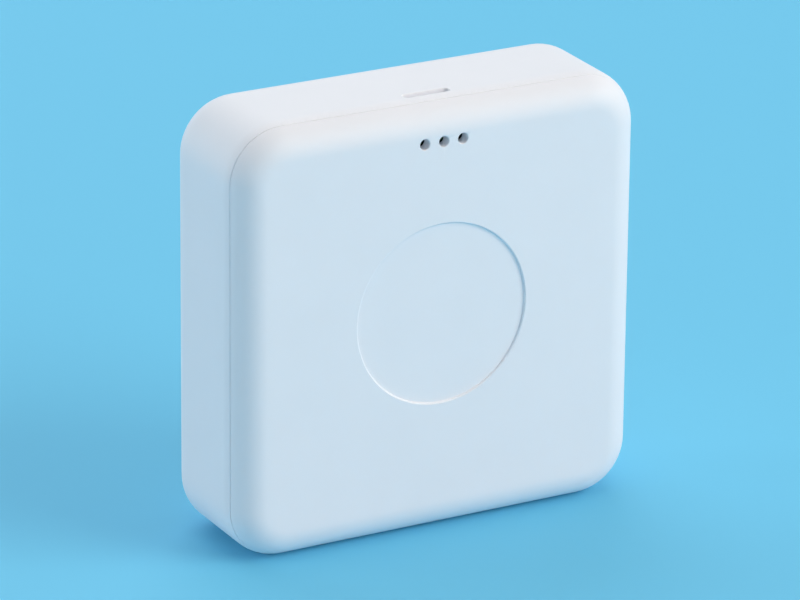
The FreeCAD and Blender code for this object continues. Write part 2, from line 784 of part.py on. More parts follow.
def switch():
    base_rear = f"({board_rear} + switch_body_height)"
    cover_rear = f"({base_rear} + switch_cover_thick)"
    square = centred_box(button_x, button_height, "switch_width", "switch_width")
    base = new_body("switch_base")
    extrude(base, "XZ_Plane", board_rear, base_rear, [square])
    cavity = circle(button_x, button_height, "switch_cavity_diameter")
    extrude(base, "XZ_Plane", f"{board_rear} + switch_floor", base_rear, [cavity], cut=True)

    cover = new_body("switch_cover")
    extrude(cover, "XZ_Plane", base_rear, cover_rear, [square])
    hole = circle(button_x, button_height, "plunger_diameter + 2 * button_clearance")
    extrude(cover, "XZ_Plane", base_rear, cover_rear, [hole], cut=True)

    dome = new_body("switch_dome")
    dome_foot = f"({board_rear} + switch_floor)"
    flange_front = f"({base_rear} - plunger_clearance - plunger_flange_height)"
    dome_top = f"({flange_front} - button_travel - plunger_clearance)"
    outer = "dome_diameter / 2"
    profile = polygon([
        (outer, dome_foot),
        (outer, f"{dome_foot} + dome_thick"),
        ("dome_diameter / 4", f"{dome_top} - dome_thick / 2"),
        ("0", dome_top),
        ("0", f"{dome_top} - dome_thick"),
        ("dome_diameter / 4", f"{dome_top} - dome_thick * 3 / 2"),
        (f"{outer} - dome_thick", dome_foot),
    ])
    revolve(dome, "XY_Plane", [profile], "V_Axis", button_height, (button_x, "0"))

    plunger = new_body("switch_plunger")
    flange_rear = f"({base_rear} - plunger_clearance)"
    plunger_rear = f"({cover_rear} + plunger_rise)"
    profile = polygon([
        ("0", flange_front),
        ("plunger_flange_diameter / 2", flange_front),
        ("plunger_flange_diameter / 2", flange_rear),
        ("plunger_diameter / 2", flange_rear),
        ("plunger_diameter / 2", plunger_rear),
        ("0", plunger_rear),
    ])
    revolve(plunger, "XY_Plane", [profile], "V_Axis", button_height, (button_x, "0"))

    button = new_body("pair_button")
    flange_top = f"({deck_front} - button_clearance)"
    cap_radius = "button_diameter / 2"
    cap_edge = "button_rise / 4"
    profile = polygon([
        ("0", plunger_rear),
        ("button_stem_diameter / 2", plunger_rear),
        ("button_stem_diameter / 2", f"{flange_top} - button_flange_height"),
        (f"{cap_radius} + button_flange", f"{flange_top} - button_flange_height"),
        (f"{cap_radius} + button_flange", flange_top),
        (cap_radius, flange_top),
        (cap_radius, f"{deck_rear} + button_rise - {cap_edge}"),
        (f"{cap_radius} - {cap_edge}", f"{deck_rear} + button_rise"),
        ("0", f"{deck_rear} + button_rise"),
    ])
    revolve(button, "XY_Plane", [profile], "V_Axis", button_height, (button_x, "0"))


def battery_frame():
    body = new_body("battery_frame")
    extrude(body, "XZ_Plane", board_rear, deck_rear, [outline(frame_inset)])
    extrude(body, "XZ_Plane", board_rear, floor_rear, [outline("(side_wall + flange_clearance)")])
    bay_end = f"({bay_length} / 2)"
    bay = rounded(f"-{bay_end}", bay_end, bay_low, bay_high, "bay_radius")
    extrude(body, "XZ_Plane", floor_rear, deck_rear, [bay], cut=True)
    post_inner = f"({half_width} - boss_inset - post_reach)"
    post_low = f"({body_height} - boss_inset - post_reach)"
    wide = box(f"-{bay_end}", bay_end, electronics_low, post_low)
    extrude(body, "XZ_Plane", board_rear, deck_front, [wide], cut=True)
    narrow = box(f"-{post_inner}", post_inner, f"{post_low} - {past}", electronics_high)
    extrude(body, "XZ_Plane", board_rear, deck_front, [narrow], cut=True)

    for i in (-1, 0, 1):
        middle = f"({i} * cradle_spacing)"
        corners = [
            (floor_root, bay_low),
            (f"{cell_axis} - cradle_drop", bay_low),
            (f"{cell_axis} - cradle_drop", bay_high),
            (floor_root, bay_high),
        ]
        start = f"{middle} - cradle_wall / 2"
        extrude(body, "YZ_Plane", start, f"{middle} + cradle_wall / 2", [polygon(corners)])
    bed = [
        circle(cell_axis, height, "cell_diameter + cell_clearance")
        for height in (lower_cell_height, upper_cell_height)
    ]
    bed_end = "(cradle_spacing + cradle_wall)"
    extrude(body, "YZ_Plane", f"-{bed_end}", bed_end, bed, cut=True)

    guides = []
    lower_plate = f"{lower_cell_height} - contact_width / 2 - contact_clearance"
    upper_plate = f"{upper_cell_height} + contact_width / 2 + contact_clearance"
    inner_low = f"{lower_cell_height} + contact_width / 2 + contact_clearance"
    inner_high = f"{upper_cell_height} - contact_width / 2 - contact_clearance"
    for side in ("1", "-1"):
        inner = f"{side} * ({bay_end} - guide_reach)"
        outer = f"{side} * {bay_end}"
        left, right = (inner, outer) if side == "1" else (outer, inner)
        guides.append(box(left, right, f"{lower_plate} - guide_wall", lower_plate))
        guides.append(box(left, right, upper_plate, f"{upper_plate} + guide_wall"))
        if side == "1":
            guides.append(box(left, right, inner_low, f"{inner_low} + guide_wall"))
            guides.append(box(left, right, f"{inner_high} - guide_wall", inner_high))
    extrude(body, "XZ_Plane", floor_root, f"{cell_axis} + cradle_drop", guides)

    access = [circle(x, z, "screw_head_diameter + 2 * screw_access") for x, z in screw_places]
    extrude(body, "XZ_Plane", floor_rear, deck_rear, access, cut=True)
    holes = [circle(x, z, "screw_diameter + 2 * screw_clearance") for x, z in screw_places]
    extrude(body, "XZ_Plane", board_rear, floor_rear, holes + tail_loops("tail_clearance"), cut=True)
    pin_opening = centred_box(
        "0",
        pin_height,
        "(pin_count * pin_pitch + 2 * screw_access)",
        "(header_width + 2 * pin_clearance)",
    )
    button_hole = circle(button_x, button_height, "button_diameter + 2 * button_clearance")
    extrude(body, "XZ_Plane", deck_front, deck_rear, [pin_opening, button_hole], cut=True)
    pegs = [
        circle(f"{side} * peg_offset", f"({air_hole_height} - peg_drop)", "peg_diameter")
        for side in (-1, 1)
    ]
    peg_end = f"{deck_rear} + sensor_board_thick + peg_tip"
    extrude(body, "XZ_Plane", f"{deck_rear} - deck_thick / 2", peg_end, pegs)


def screws():
    body = new_body("frame_screws")
    head_rear = f"({floor_rear} + screw_head_height)"
    shanks = [circle(x, z, "screw_diameter") for x, z in screw_places]
    extrude(body, "XZ_Plane", f"{floor_rear} - screw_length", floor_rear, shanks)
    heads = [circle(x, z, "screw_head_diameter") for x, z in screw_places]
    extrude(body, "XZ_Plane", floor_rear, head_rear, heads)
    round_edges(body, "screw_head_bevel", lies_at(head_rear), kind="Chamfer")
    for width, height in (
        ("screw_slot_length", "screw_slot_width"),
        ("screw_slot_width", "screw_slot_length"),
    ):
        slots = [centred_box(x, z, width, height) for x, z in screw_places]
        extrude(body, "XZ_Plane", f"{head_rear} - screw_slot_depth", head_rear, slots, cut=True)


def cell(name, height, side):
    """A cell lying along X, with its raised end towards the side given by the sign."""
    body = new_body(name)
    tip = f"({plate_face} - contact_bump - contact_clearance)"
    shoulder = f"({tip} - cell_nub_length)"
    flat_end = f"({tip} - cell_length)"
    rim = "cell_diameter / 2"
    points = [
        (flat_end, "0"),
        (flat_end, f"{rim} - cell_edge"),
        (f"{flat_end} + cell_edge", rim),
        (f"{shoulder} - cell_edge", rim),
        (shoulder, f"{rim} - cell_edge"),
        (shoulder, "cell_nub_diameter / 2"),
        (tip, "cell_nub_diameter / 2"),
        (tip, "0"),
    ]
    profile = polygon([(f"{side} * ({x})", y) for x, y in points])
    revolve(body, "XY_Plane", [profile], "H_Axis", height, ("0", cell_axis))


def contact_bump(body, side, height):
    """The dimple pressed into a plate, which meets the raised end of a cell."""
    face = f"{side} * {plate_face}"
    top = f"{side} * ({plate_face} - contact_bump)"
    profile = polygon([
        (face, "0"),
        (face, "contact_bump_diameter / 2"),
        (top, "contact_bump_diameter / 4"),
        (top, "0"),
    ])
    revolve(body, "XY_Plane", [profile], "H_Axis", height, ("0", cell_axis))


def contact_plate(name, side, low_cell, high_cell, bump_height=None, tail_height=None):
    """A plate against the end of the bay, as tall as the cells that it serves."""
    body = new_body(name)
    loop = box(
        floor_rear,
        f"{floor_rear} + contact_height",
        f"{low_cell} - contact_width / 2",
        f"{high_cell} + contact_width / 2",
    )
    near, far = plate_face, f"({plate_face} + contact_thick)"
    if side == "-1":
        near, far = f"-{far}", f"-{plate_face}"
    extrude(body, "YZ_Plane", near, far, [loop])
    half = "tail_width / 2"
    tail = box(board_front, floor_rear, f"{tail_height} - {half}", f"{tail_height} + {half}")
    extrude(body, "YZ_Plane", near, far, [tail])
    if bump_height:
        contact_bump(body, side, bump_height)


def coil_point(turn, length):
    """Place and direction on a coil along +X that narrows from its foot to its tip."""
    turns = driving["spring_turns"]
    share = turn / turns
    shrink = driving["spring_tip_radius"] - driving["spring_base_radius"]
    radius = driving["spring_base_radius"] + shrink * share
    angle = 2 * math.pi * turn
    across = FreeCAD.Vector(0, math.cos(angle), math.sin(angle))
    forward = FreeCAD.Vector(0, -math.sin(angle), math.cos(angle))
    place = FreeCAD.Vector(length * share, 0, 0) + across * radius
    rise = FreeCAD.Vector(length / turns, 0, 0)
    slope = rise + across * (shrink / turns) + forward * (2 * math.pi * radius)
    return place, slope.normalize()


def tangent_arc(start, direction, end):
    """The arc from start, in a direction, to end."""
    chord = end - start
    across = chord - direction * chord.dot(direction)
    radius = chord.Length ** 2 / (2 * across.Length)
    centre = start + across.normalize() * radius
    outward = (start + chord / 2 - centre).normalize()
    return Part.Arc(start, centre + outward * radius, end)


def biarc(start, start_direction, end, end_direction):
    """Two arcs that meet smoothly and leave each end in its own direction."""
    chord = end - start
    both = start_direction + end_direction
    a = 2 * (1 - start_direction.dot(end_direction))
    b = 2 * chord.dot(both)
    reach = (-b + math.sqrt(b * b + 4 * a * chord.dot(chord))) / (2 * a)
    joint = (start + start_direction * reach + end - end_direction * reach) / 2
    back = tangent_arc(end, -end_direction, joint)
    return [tangent_arc(start, start_direction, joint), reversed_arc(back)]


def reversed_arc(arc):
    start, end = arc.FirstParameter, arc.LastParameter
    return Part.Arc(arc.value(end), arc.value((start + end) / 2), arc.value(start))


def wire_section(middle, direction):
    """The wire's outline across its path, a regular polygon."""
    radius = driving["spring_wire"] / 2
    sides = driving["spring_sides"]
    flat = direction.cross(FreeCAD.Vector(0, 0, 1)).normalize()
    upright = direction.cross(flat)
    turns = [2 * math.pi * i / sides for i in range(sides + 1)]
    return Part.makePolygon([
        middle + flat * (radius * math.cos(turn)) + upright * (radius * math.sin(turn))
        for turn in turns
    ])


def least_gap(length, per_turn=120):
    """The least distance on the coil's line between points at least half a turn apart."""
    count = round(driving["spring_turns"] * per_turn)
    samples = [coil_point(i / per_turn, length)[0] for i in range(count + 1)]
    return min(
        (samples[i] - samples[j]).Length
        for i in range(count + 1)
        for j in range(i + per_turn // 2, count + 1)
    )


def spring(name, side, height):
    """A conical coil of wire on a contact plate, one unbroken tube."""
    wire = driving["spring_wire"]
    seat = wire / 2 + driving["spring_clearance"]
    length = driving["spring_length"] - 2 * seat
    half_turns = round(driving["spring_turns"] * 2)
    stops = [coil_point(i / 2, length) for i in range(half_turns + 1)]
    first, first_direction = stops[0]
    last, last_direction = stops[-1]
    curves = [Part.LineSegment(first - first_direction * wire, first)]
    for (start, leave), (end, arrive) in zip(stops, stops[1:]):
        curves += biarc(start, leave, end, arrive)
    curves.append(Part.LineSegment(last, last + last_direction * wire))
    path = Part.Wire([curve.toShape() for curve in curves])
    section = wire_section(first - first_direction * wire, first_direction)
    tube = path.makePipeShell([section], True, False)
    print(f"{name}: least gap between turns {least_gap(length) - wire:.3f} mm")

    feature = doc.addObject("Part::Feature", name)
    feature.Label = name
    feature.Shape = tube
    foot = FreeCAD.Vector(seat - size(plate_face), size(cell_axis), size(height))
    turn = FreeCAD.Rotation()
    if side == "1":
        foot.x = -foot.x
        turn = FreeCAD.Rotation(FreeCAD.Vector(0, 0, 1), 180)
    feature.Placement = FreeCAD.Placement(foot, turn)
    nodes.append(feature)


def power():
    cell("battery_lower", lower_cell_height, "-1")
    cell("battery_upper", upper_cell_height, "1")
    contact_plate(
        "battery_link_plate",
        "-1",
        lower_cell_height,
        upper_cell_height,
        bump_height=lower_cell_height,
        tail_height=lower_cell_height,
    )
    contact_plate(
        "battery_negative_plate",
        "1",
        lower_cell_height,
        lower_cell_height,
        tail_height=lower_cell_height,
    )
    contact_plate(
        "battery_positive_plate",
        "1",
        upper_cell_height,
        upper_cell_height,
        bump_height=upper_cell_height,
        tail_height=upper_cell_height,
    )
    spring("battery_link_spring", "-1", upper_cell_height)
    spring("battery_negative_spring", "1", lower_cell_height)


front_shell()
back_cover()
display()
boards()
sensor()
switch()
battery_frame()
screws()
power()
doc.recompute()

for item in doc.Objects:
    if "Invalid" in item.State or "Error" in item.State:
        raise RuntimeError(f"{item.Name} did not compute: {item.State}")
    if item.isDerivedFrom("PartDesign::FeatureAddSub") and item.BaseFeature:
        change = item.Shape.Volume - item.BaseFeature.Shape.Volume
        if abs(change) < 1e-4:
            raise RuntimeError(f"{item.Name} changed nothing")

os.makedirs("parts", exist_ok=True)
for node in nodes:
    if node.Shape.isNull() or not node.Shape.isValid():
        raise RuntimeError(f"{node.Label} has no valid shape")
    node.Shape.exportStep(f"parts/{node.Label}.step")

for label, text in (("width", body_width), ("depth", body_depth), ("height", body_height)):
    print(f"{label} {size(text):.3f} mm")
print(f"{len(nodes)} nodes")
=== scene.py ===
import json
import math
import bmesh
import bpy
import numpy as np
from mathutils import Matrix, Vector


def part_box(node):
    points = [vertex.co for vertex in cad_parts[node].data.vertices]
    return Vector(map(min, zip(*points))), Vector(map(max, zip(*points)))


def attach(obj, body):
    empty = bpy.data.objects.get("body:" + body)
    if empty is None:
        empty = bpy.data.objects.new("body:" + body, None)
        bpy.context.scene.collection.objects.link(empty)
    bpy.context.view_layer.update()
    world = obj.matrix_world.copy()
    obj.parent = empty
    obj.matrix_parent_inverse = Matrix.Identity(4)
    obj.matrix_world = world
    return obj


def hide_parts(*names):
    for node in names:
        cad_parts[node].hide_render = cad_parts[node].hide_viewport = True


# A small square thermometer and hygrometer, seen from behind: a front shell with a display,
# and a snap-off back cover over two cells and a sensor board.
# Everything is worked out in millimetres and turned into metres when a mesh is made.

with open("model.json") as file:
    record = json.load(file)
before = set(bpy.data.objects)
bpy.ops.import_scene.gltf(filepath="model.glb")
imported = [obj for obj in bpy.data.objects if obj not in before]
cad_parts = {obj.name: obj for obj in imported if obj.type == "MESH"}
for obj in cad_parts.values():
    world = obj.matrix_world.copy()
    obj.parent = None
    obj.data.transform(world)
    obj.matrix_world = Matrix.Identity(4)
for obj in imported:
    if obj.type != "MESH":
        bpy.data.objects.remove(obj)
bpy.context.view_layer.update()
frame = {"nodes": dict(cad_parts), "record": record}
millimetre = 0.001

# the usual radii of edges, from sharp to soft
crispEdge, fineEdge, softEdge, easedEdge, broadEdge, fullEdge = 0.05, 0.1, 0.15, 0.2, 0.25, 0.3
leastFlat = 0.01  # what is left of a flat between two roundings
middleGap = 0.2  # how near to its middle a plate's flat is closed


def cornersOf(node):
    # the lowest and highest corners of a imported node's box, in millimetres
    low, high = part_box(node)
    return np.array(low) / millimetre, np.array(high) / millimetre


def planOf(node):
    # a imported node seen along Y: its width and height, its middle, and where its two faces lie
    low, high = cornersOf(node)
    width, _, height = high - low
    return width, height, ((low + high) / 2)[[0, 2]], low[1], high[1]


shellLow, shellHigh = cornersOf("front_shell")
windowLow, windowHigh = cornersOf("display_window")
frontFace, seam = shellLow[1], shellHigh[1]
backFace = cornersOf("back_cover")[1][1]
bodyWidth, bodyHeight = shellHigh[0] - shellLow[0], shellHigh[2]
bodyMiddle = np.array([0.0, bodyHeight / 2])
displayMiddle = np.array([0.0, (windowLow[2] + windowHigh[2]) / 2])


# Outlines and profiles

def roundedRings(width, height, radius, middle, insets, cornerSteps=14, sideSteps=22):
    # one rounded rectangle for each inset, anticlockwise: quarter circles joined by even steps
    insets = np.asarray(insets, float)[:, None, None]
    bend = np.maximum(radius - insets, crispEdge)  # no corner gets sharper than this
    turn = np.linspace(-0.5 * np.pi, 0, cornerSteps + 1) + np.arange(4)[:, None] * 0.5 * np.pi
    circle = np.stack([np.cos(turn), np.sin(turn)], -1)
    signs = np.array([[1, -1], [1, 1], [-1, 1], [-1, -1]])
    half = np.concatenate([width / 2 - insets, height / 2 - insets], -1)
    centres = signs * (half - bend)
    arcs = centres[:, :, None, :] + bend[..., None] * circle
    ends = arcs[:, :, -1:, :]
    starts = np.roll(arcs[:, :, :1, :], -1, axis=1)
    share = np.linspace(0, 1, sideSteps + 1)[1:-1][:, None]
    sides = ends + (starts - ends) * share
    rings = np.concatenate([arcs, sides], axis=2).reshape(len(insets), -1, 2)
    return rings + middle


def arcPoints(centre, radius, start, end, steps):
    # points of a circular arc between two angles in degrees
    turn = np.radians(np.linspace(start, end, steps + 1))
    return np.stack([centre[0] + radius * np.cos(turn), centre[1] + radius * np.sin(turn)], -1)


def softProfile(corners, steps=5, guard=0.15, guardShare=0.4):
    # a line through corners (along, across, radius): each radius becomes an arc tangent to both
    # sides, with a guard point beside each of its ends to keep the shading of the flats even
    points = [np.array(corners[0][:2], float)]
    for before, corner, after in zip(corners, corners[1:], corners[2:]):
        here, radius = np.array(corner[:2], float), corner[2]
        if radius == 0:
            points.append(here)
            continue
        back, ahead = (np.array(other[:2], float) - here for other in (before, after))
        backLength, aheadLength = np.linalg.norm(back), np.linalg.norm(ahead)
        back, ahead = back / backLength, ahead / aheadLength
        half = math.acos(np.clip(back @ ahead, -1, 1)) / 2
        reach = radius / math.tan(half)
        centre = here + (back + ahead) / np.linalg.norm(back + ahead) * radius / math.sin(half)
        share = np.linspace(0, 1, steps + 1)[:, None]
        spread = math.pi - 2 * half
        first, last = here + back * reach - centre, here + ahead * reach - centre
        swing = np.sin((1 - share) * spread) * first + np.sin(share * spread) * last
        flats = (max(length - reach, leastFlat) for length in (backLength, aheadLength))
        near, far = (min(guard, guardShare * flat) for flat in flats)
        arc = centre + swing / math.sin(spread)
        points += [here + back * (reach + near), arc, here + ahead * (reach + far)]
    return np.vstack([*points, corners[-1][:2]])


def standUp(rings, depths, order=(0, 2, 1)):
    # rings in a plane, each moved to its own depth; order says which axis each column becomes
    depths = np.broadcast_to(np.asarray(depths, float)[:, None, None], rings.shape[:2] + (1,))
    points = np.concatenate([rings, depths], -1)
    placed = np.empty_like(points)
    placed[..., list(order)] = points
    return placed


# Meshes

def loft(rings, closed=False):
    # quads between rings, joined round each ring; the ends are capped, or joined if closed.
    # It gives the points and the sets of faces, each set with faces of one length
    count, around = rings.shape[:2]
    row = np.arange(count if closed else count - 1)[:, None]
    column = np.arange(around)[None, :]
    following = (row + 1) % count
    beside = (column + 1) % around
    corners = [row * around + column, following * around + column]
    corners += [following * around + beside, row * around + beside]
    faces = [np.stack(corners, -1).reshape(-1, 4)]
    if not closed:
        cap = np.arange(around)[None]
        faces += [cap, cap[:, ::-1] + (count - 1) * around]
    return rings.reshape(-1, 3), faces


def volumeOf(points, faceSets):
    # each face is a fan of triangles, and each triangle a signed tetrahedron with the origin;
    # their sum is positive when the faces point outwards
    total = 0
    for faces in faceSets:
        fan = np.cross(points[faces[:, 1:-1]], points[faces[:, 2:]])
        total += (points[faces[:, :1]] * fan).sum() / 6
    return total


def addObject(name, data):
    # a new object in the scene, at the origin
    made = bpy.data.objects.new(name, data)
    bpy.context.scene.collection.objects.link(made)
    return made


def solid(name, parts, faceFinish=None):
    # one object from closed parts, each turned so that its faces point outwards
    points, faces, start = [], [], 0
    for vertices, faceSets in parts:
        step = 1 if volumeOf(vertices, faceSets) > 0 else -1
        for faceSet in faceSets:
            faces += (faceSet[:, ::step] + start).tolist()
        points.append(vertices)
        start += len(vertices)
    mesh = bpy.data.meshes.new(name)
    mesh.from_pydata((np.concatenate(points) * millimetre).tolist(), [], faces)
    if faceFinish is not None:
        mesh.polygons.foreach_set("material_index", np.asarray(faceFinish, np.int32))
    mesh.update()
    return addObject(name, mesh)


def carve(piece, parts, operation="DIFFERENCE"):
    # cut closed parts out of a piece, or join them to it, and keep the result as plain mesh data
    tool = solid("carvingTool", parts)
    modifier = piece.modifiers.new("carve", "BOOLEAN")
    modifier.operation = operation
    modifier.solver = "EXACT"
    modifier.object = tool
    bpy.context.view_layer.update()
    shaped = piece.evaluated_get(bpy.context.evaluated_depsgraph_get())
    mesh = bpy.data.meshes.new_from_object(shaped)
    piece.modifiers.clear()
    piece.data = mesh
    bpy.data.objects.remove(tool)


def finishPiece(piece, materials, node=None, body="root", sharp=32):
    # smooth shading that stays flat on flats, then the finish, the body that it moves with, and
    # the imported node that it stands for
    for material in materials:
        piece.data.materials.append(material)
    piece.data.shade_smooth()
    piece.data.set_sharp_from_angle(angle=math.radians(sharp))
    modifier = piece.modifiers.new("evenNormals", "WEIGHTED_NORMAL")
    modifier.keep_sharp = True
    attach(piece, body)
    if node:
        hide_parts(node)


# Shader maths

def operator(operation, swapped=False):
    # a method that adds one Math node, with the socket as its first value or as its second
    def work(self, other=0.0):
        first, second = (other, self) if swapped else (self, other)
        return self.graph.node("Math", {"operation": operation}, {0: first, 1: second})
    return work


class Value:
    # an output socket; an expression on it adds Math nodes to its graph

    def __init__(self, graph, socket):
        self.graph = graph
        self.socket = socket

    __add__, __radd__ = operator("ADD"), operator("ADD", swapped=True)
    __sub__, __rsub__ = operator("SUBTRACT"), operator("SUBTRACT", swapped=True)
    __mul__, __rmul__ = operator("MULTIPLY"), operator("MULTIPLY", swapped=True)
    __truediv__, __rtruediv__ = operator("DIVIDE"), operator("DIVIDE", swapped=True)
    __mod__, __rmod__ = operator("FLOORED_MODULO"), operator("FLOORED_MODULO", swapped=True)
    __gt__, __lt__ = operator("GREATER_THAN"), operator("LESS_THAN")
    __abs__, lesser = operator("ABSOLUTE"), operator("MINIMUM")


class Graph:
    # the node tree of one material, or of the world

    def __init__(self, name, kind="materials"):
        self.owner = getattr(bpy.data, kind).new(name)
        self.owner.use_nodes = True
        self.tree = self.owner.node_tree
        self.tree.nodes.clear()

    def node(self, kind, settings=None, sockets=None, output=0):
        # one node: its settings first, then a value or a link for each socket that is named
        made = self.tree.nodes.new("ShaderNode" + kind)
        for name, setting in (settings or {}).items():
            setattr(made, name, setting)
        for name, value in (sockets or {}).items():
            if isinstance(value, Value):
                self.tree.links.new(value.socket, made.inputs[name])
            else:
                made.inputs[name].default_value = value
        return Value(self, made.outputs[output]) if made.outputs else None

    def place(self):
        # the point on the surface, in metres from the object's origin
        return self.node("TexCoord", output="Object")

    def axis(self, letter, vector=None):
        # one coordinate of a place or direction
        return self.node("SeparateXYZ", None, {"Vector": vector or self.place()}, letter)

    def noise(self, size, detail=2.0, roughness=0.5, vector=None):
        # size is the width in millimetres of one cell of the noise
        sockets = {"Vector": vector or self.place(), "Scale": 1 / (size * millimetre)}
        sockets |= {"Detail": detail, "Roughness": roughness}
        return self.node("TexNoise", {"noise_dimensions": "3D"}, sockets)

    def cells(self, density, randomness=1.0):
        # how far it is to the nearest of scattered points, with so many of them to a metre
        sockets = {"Vector": self.place(), "Scale": density, "Randomness": randomness}
        return self.node("TexVoronoi", {"feature": "F1"}, sockets)

    def mix(self, factor, first, second):
        # the first colour where the factor is 0, the second where it is 1
        return self.node("Mix", {"data_type": "RGBA"}, {0: factor, 6: first, 7: second}, 2)

    def bump(self, height, distance, strength=1.0, normal=None):
        # distance is the height of a full step in millimetres
        sockets = {"Height": height, "Distance": distance * millimetre, "Strength": strength}
        if normal:
            sockets["Normal"] = normal
        return self.node("Bump", None, sockets)

    def rise(self, value, ends, interpolation="LINEAR"):
        # 0 below the first end, 1 above the second, and an even or smooth rise between them
        sockets = {"Value": value, "From Min": ends[0], "From Max": ends[1]}
        return self.node("MapRange", {"interpolation_type": interpolation}, sockets)

    def background(self, code, strength):
        # light of one colour from all round
        return self.node("Background", None, {"Color": hexColor(code), "Strength": strength})

    def principled(self, base, roughness, normal, more=None):
        # the general surface shader; more holds any further sockets by name
        sockets = {"Base Color": base, "Roughness": roughness, "Normal": normal}
        return self.node("BsdfPrincipled", None, sockets | (more or {}))

    def done(self, surface, output="OutputMaterial"):
        # join the shader to the output, and hand over the material or world
        self.node(output, None, {"Surface": surface})
        return self.owner

    def finish(self, *looks):
        # a material of one general surface
        return self.done(self.principled(*looks))


def hexColor(code):
    # the linear colour of an sRGB hex code
    level = np.array([int(code[i:i + 2], 16) / 255 for i in (0, 2, 4)])
    linear = np.where(level <= 0.04045, level / 12.92, ((level + 0.055) / 1.055) ** 2.4)
    return (*linear.tolist(), 1.0)


def uneven(level, *noises):
    # a level that strays to both sides of itself, by an amount of each noise
    for amount, noise in noises:
        level = level + amount * (noise - 0.5)
    return level


# Finishes

# two sRGB codes for each finish: its main tone and what it is mixed or marked with
finishColors = {
    "housing": ("ebeef5", "e7ebf2"),
    "frame": ("dfe3e6", "d3d8dc"),
    "button": ("c4cdd6", "b8c2cc"),
    "insert": ("2f3338", "26292d"),
    "insulator": ("e6e4dc", "d8d5cb"),
    "nickelPlate": ("cfcdc6", "b3b0a8"),
    "nickelWire": ("d3d1cb", "a9a69f"),
    "goldFlash": ("e3c37a", "c7a458"),
    # the foam's second tone is painted shade for the dips between its cells
    "foam": ("4b4f55", "24262a"),
    "mainBoard": ("1f6b45", "3f9a63"),
    "radioBoard": ("1d3f73", "2f5d9c"),
    "epoxy": ("1c1d20", "2a2b2f"),
    "capacitor": ("b08a63", "cfcdc8"),
    "resistor": ("1d1e22", "cfcdc8"),
    "contactRubber": ("b9bcc0", "24262a"),
    "sleeve": ("26303c", "b4763f"),
    "borderInk": ("eef1f4", "e7ebef"),
    "litInk": ("22272a", "1b1f22"),
    "restingInk": ("aeb5ab", "a8b0a6"),
    "polariser": ("b9c0b4", "afb7ab"),
    "reflector": ("cdd2cc", "c2c8c1"),
    "frontGlass": ("9fb3ae", "94a9a4"),
    "rearGlass": ("93a7a2", "8a9e99"),
    "tape": ("d9dcdc", "cfd3d3"),
}


def tones(key):
    # the two colours of a finish
    return [hexColor(code) for code in finishColors[key]]


def mouldedPlastic(name, key, roughness=0.56, grain=0.0012):
    # satin moulded plastic: fine spark texture, a little flow mottling and uneven gloss
    graph = Graph(name)
    spark = graph.noise(0.16, detail=3.0)
    flow = graph.noise(9.0)
    haze = graph.noise(2.6, detail=4.0)
    base = graph.mix(flow, *tones(key))
    gloss = uneven(roughness, (0.10, haze), (0.05, spark))
    normal = graph.bump(spark, grain, normal=graph.bump(flow, 0.03, strength=0.35))
    return graph.finish(base, gloss, normal, {"IOR": 1.5})


def platedMetal(name, key, roughness=0.28, brushed=(1.0, 1.0, 1.0)):
    # plated sheet or wire: drawn streaks along one axis, faint stains in the plating
    graph = Graph(name)
    stretched = graph.node("VectorMath", {"operation": "MULTIPLY"}, {0: graph.place(), 1: brushed})
    streaks = graph.noise(0.18, detail=3.0, vector=stretched)
    stains = graph.noise(1.8, detail=4.0)
    base = graph.mix(stains, *tones(key))
    gloss = uneven(roughness, (0.18, streaks), (0.10, stains))
    normal = graph.bump(streaks, 0.004, strength=0.6)
    return graph.finish(base, gloss, normal, {"Metallic": 1.0})


def foamFinish(name, key):
    # closed-cell foam: rounded cells of two sizes, each darkened by painted shade towards the dips
    # between cells
    graph = Graph(name)
    depth = 0.7 * graph.cells(2600.0) + 0.3 * graph.cells(6400.0)
    # painted shade: the second tone darkens each cell as its bump falls towards the dips between
    # cells
    base = graph.mix(depth, *tones(key))
    gloss = uneven(0.86, (0.1, graph.noise(3.0)))
    return graph.finish(base, gloss, graph.bump(1 - depth, 0.12, strength=0.8))


boardValues = {
    "pitch": 0.9,
    "trackShare": 0.36,
    "wander": 2.0,
    "viaDensity": 520.0,
    "viaRing": (0.07, 0.16),
    "tin": "c9b98a",
    "shade": "101810",
}


def boardFinish(name, key):
    # solder mask over copper: rows of tracks with gaps, round vias and a fine weave under the mask
    values, graph = boardValues, Graph(name)
    drift = values["wander"] * graph.noise(5.0, detail=1.0)
    places = (graph.axis(letter) / (values["pitch"] * millimetre) for letter in "XZ")
    along, across = ((place + drift) % 1.0 < values["trackShare"] for place in places)
    bundle = graph.noise(6.5, detail=0.0) > 0.5
    routed = bundle * along + (1 - bundle) * across
    vias = graph.cells(values["viaDensity"], randomness=0.9)
    inner, outer = values["viaRing"]
    ring = (vias < outer) * (vias > inner)
    weave = graph.noise(0.35)
    masked = graph.mix(0.55 * routed, *tones(key))
    tinned = graph.mix(ring, masked, hexColor(values["tin"]))
    base = graph.mix(0.12 * weave, tinned, hexColor(values["shade"]))
    relief = 0.6 * routed + 0.3 * ring + 0.1 * weave
    normal = graph.bump(relief, 0.03, strength=0.7)
    gloss = uneven(0.34, (0.08, weave))
    return graph.finish(base, gloss, normal, {"Metallic": 0.6 * ring})


def chipFinish(name, key):
    # moulded epoxy: a dull sand-blasted face with tiny pits
    graph = Graph(name)
    grit = graph.noise(0.07, detail=4.0)
    haze = graph.noise(1.2, detail=3.0)
    base = graph.mix(haze, *tones(key))
    gloss = uneven(0.55, (0.2, grit), (0.12, haze))
    return graph.finish(base, gloss, graph.bump(grit, 0.006, strength=0.9))


smallPartValues = {"inRow": 6, "length": 1.6, "bodyLength": 0.9, "margin": 0.2, "smudge": "4a4640"}


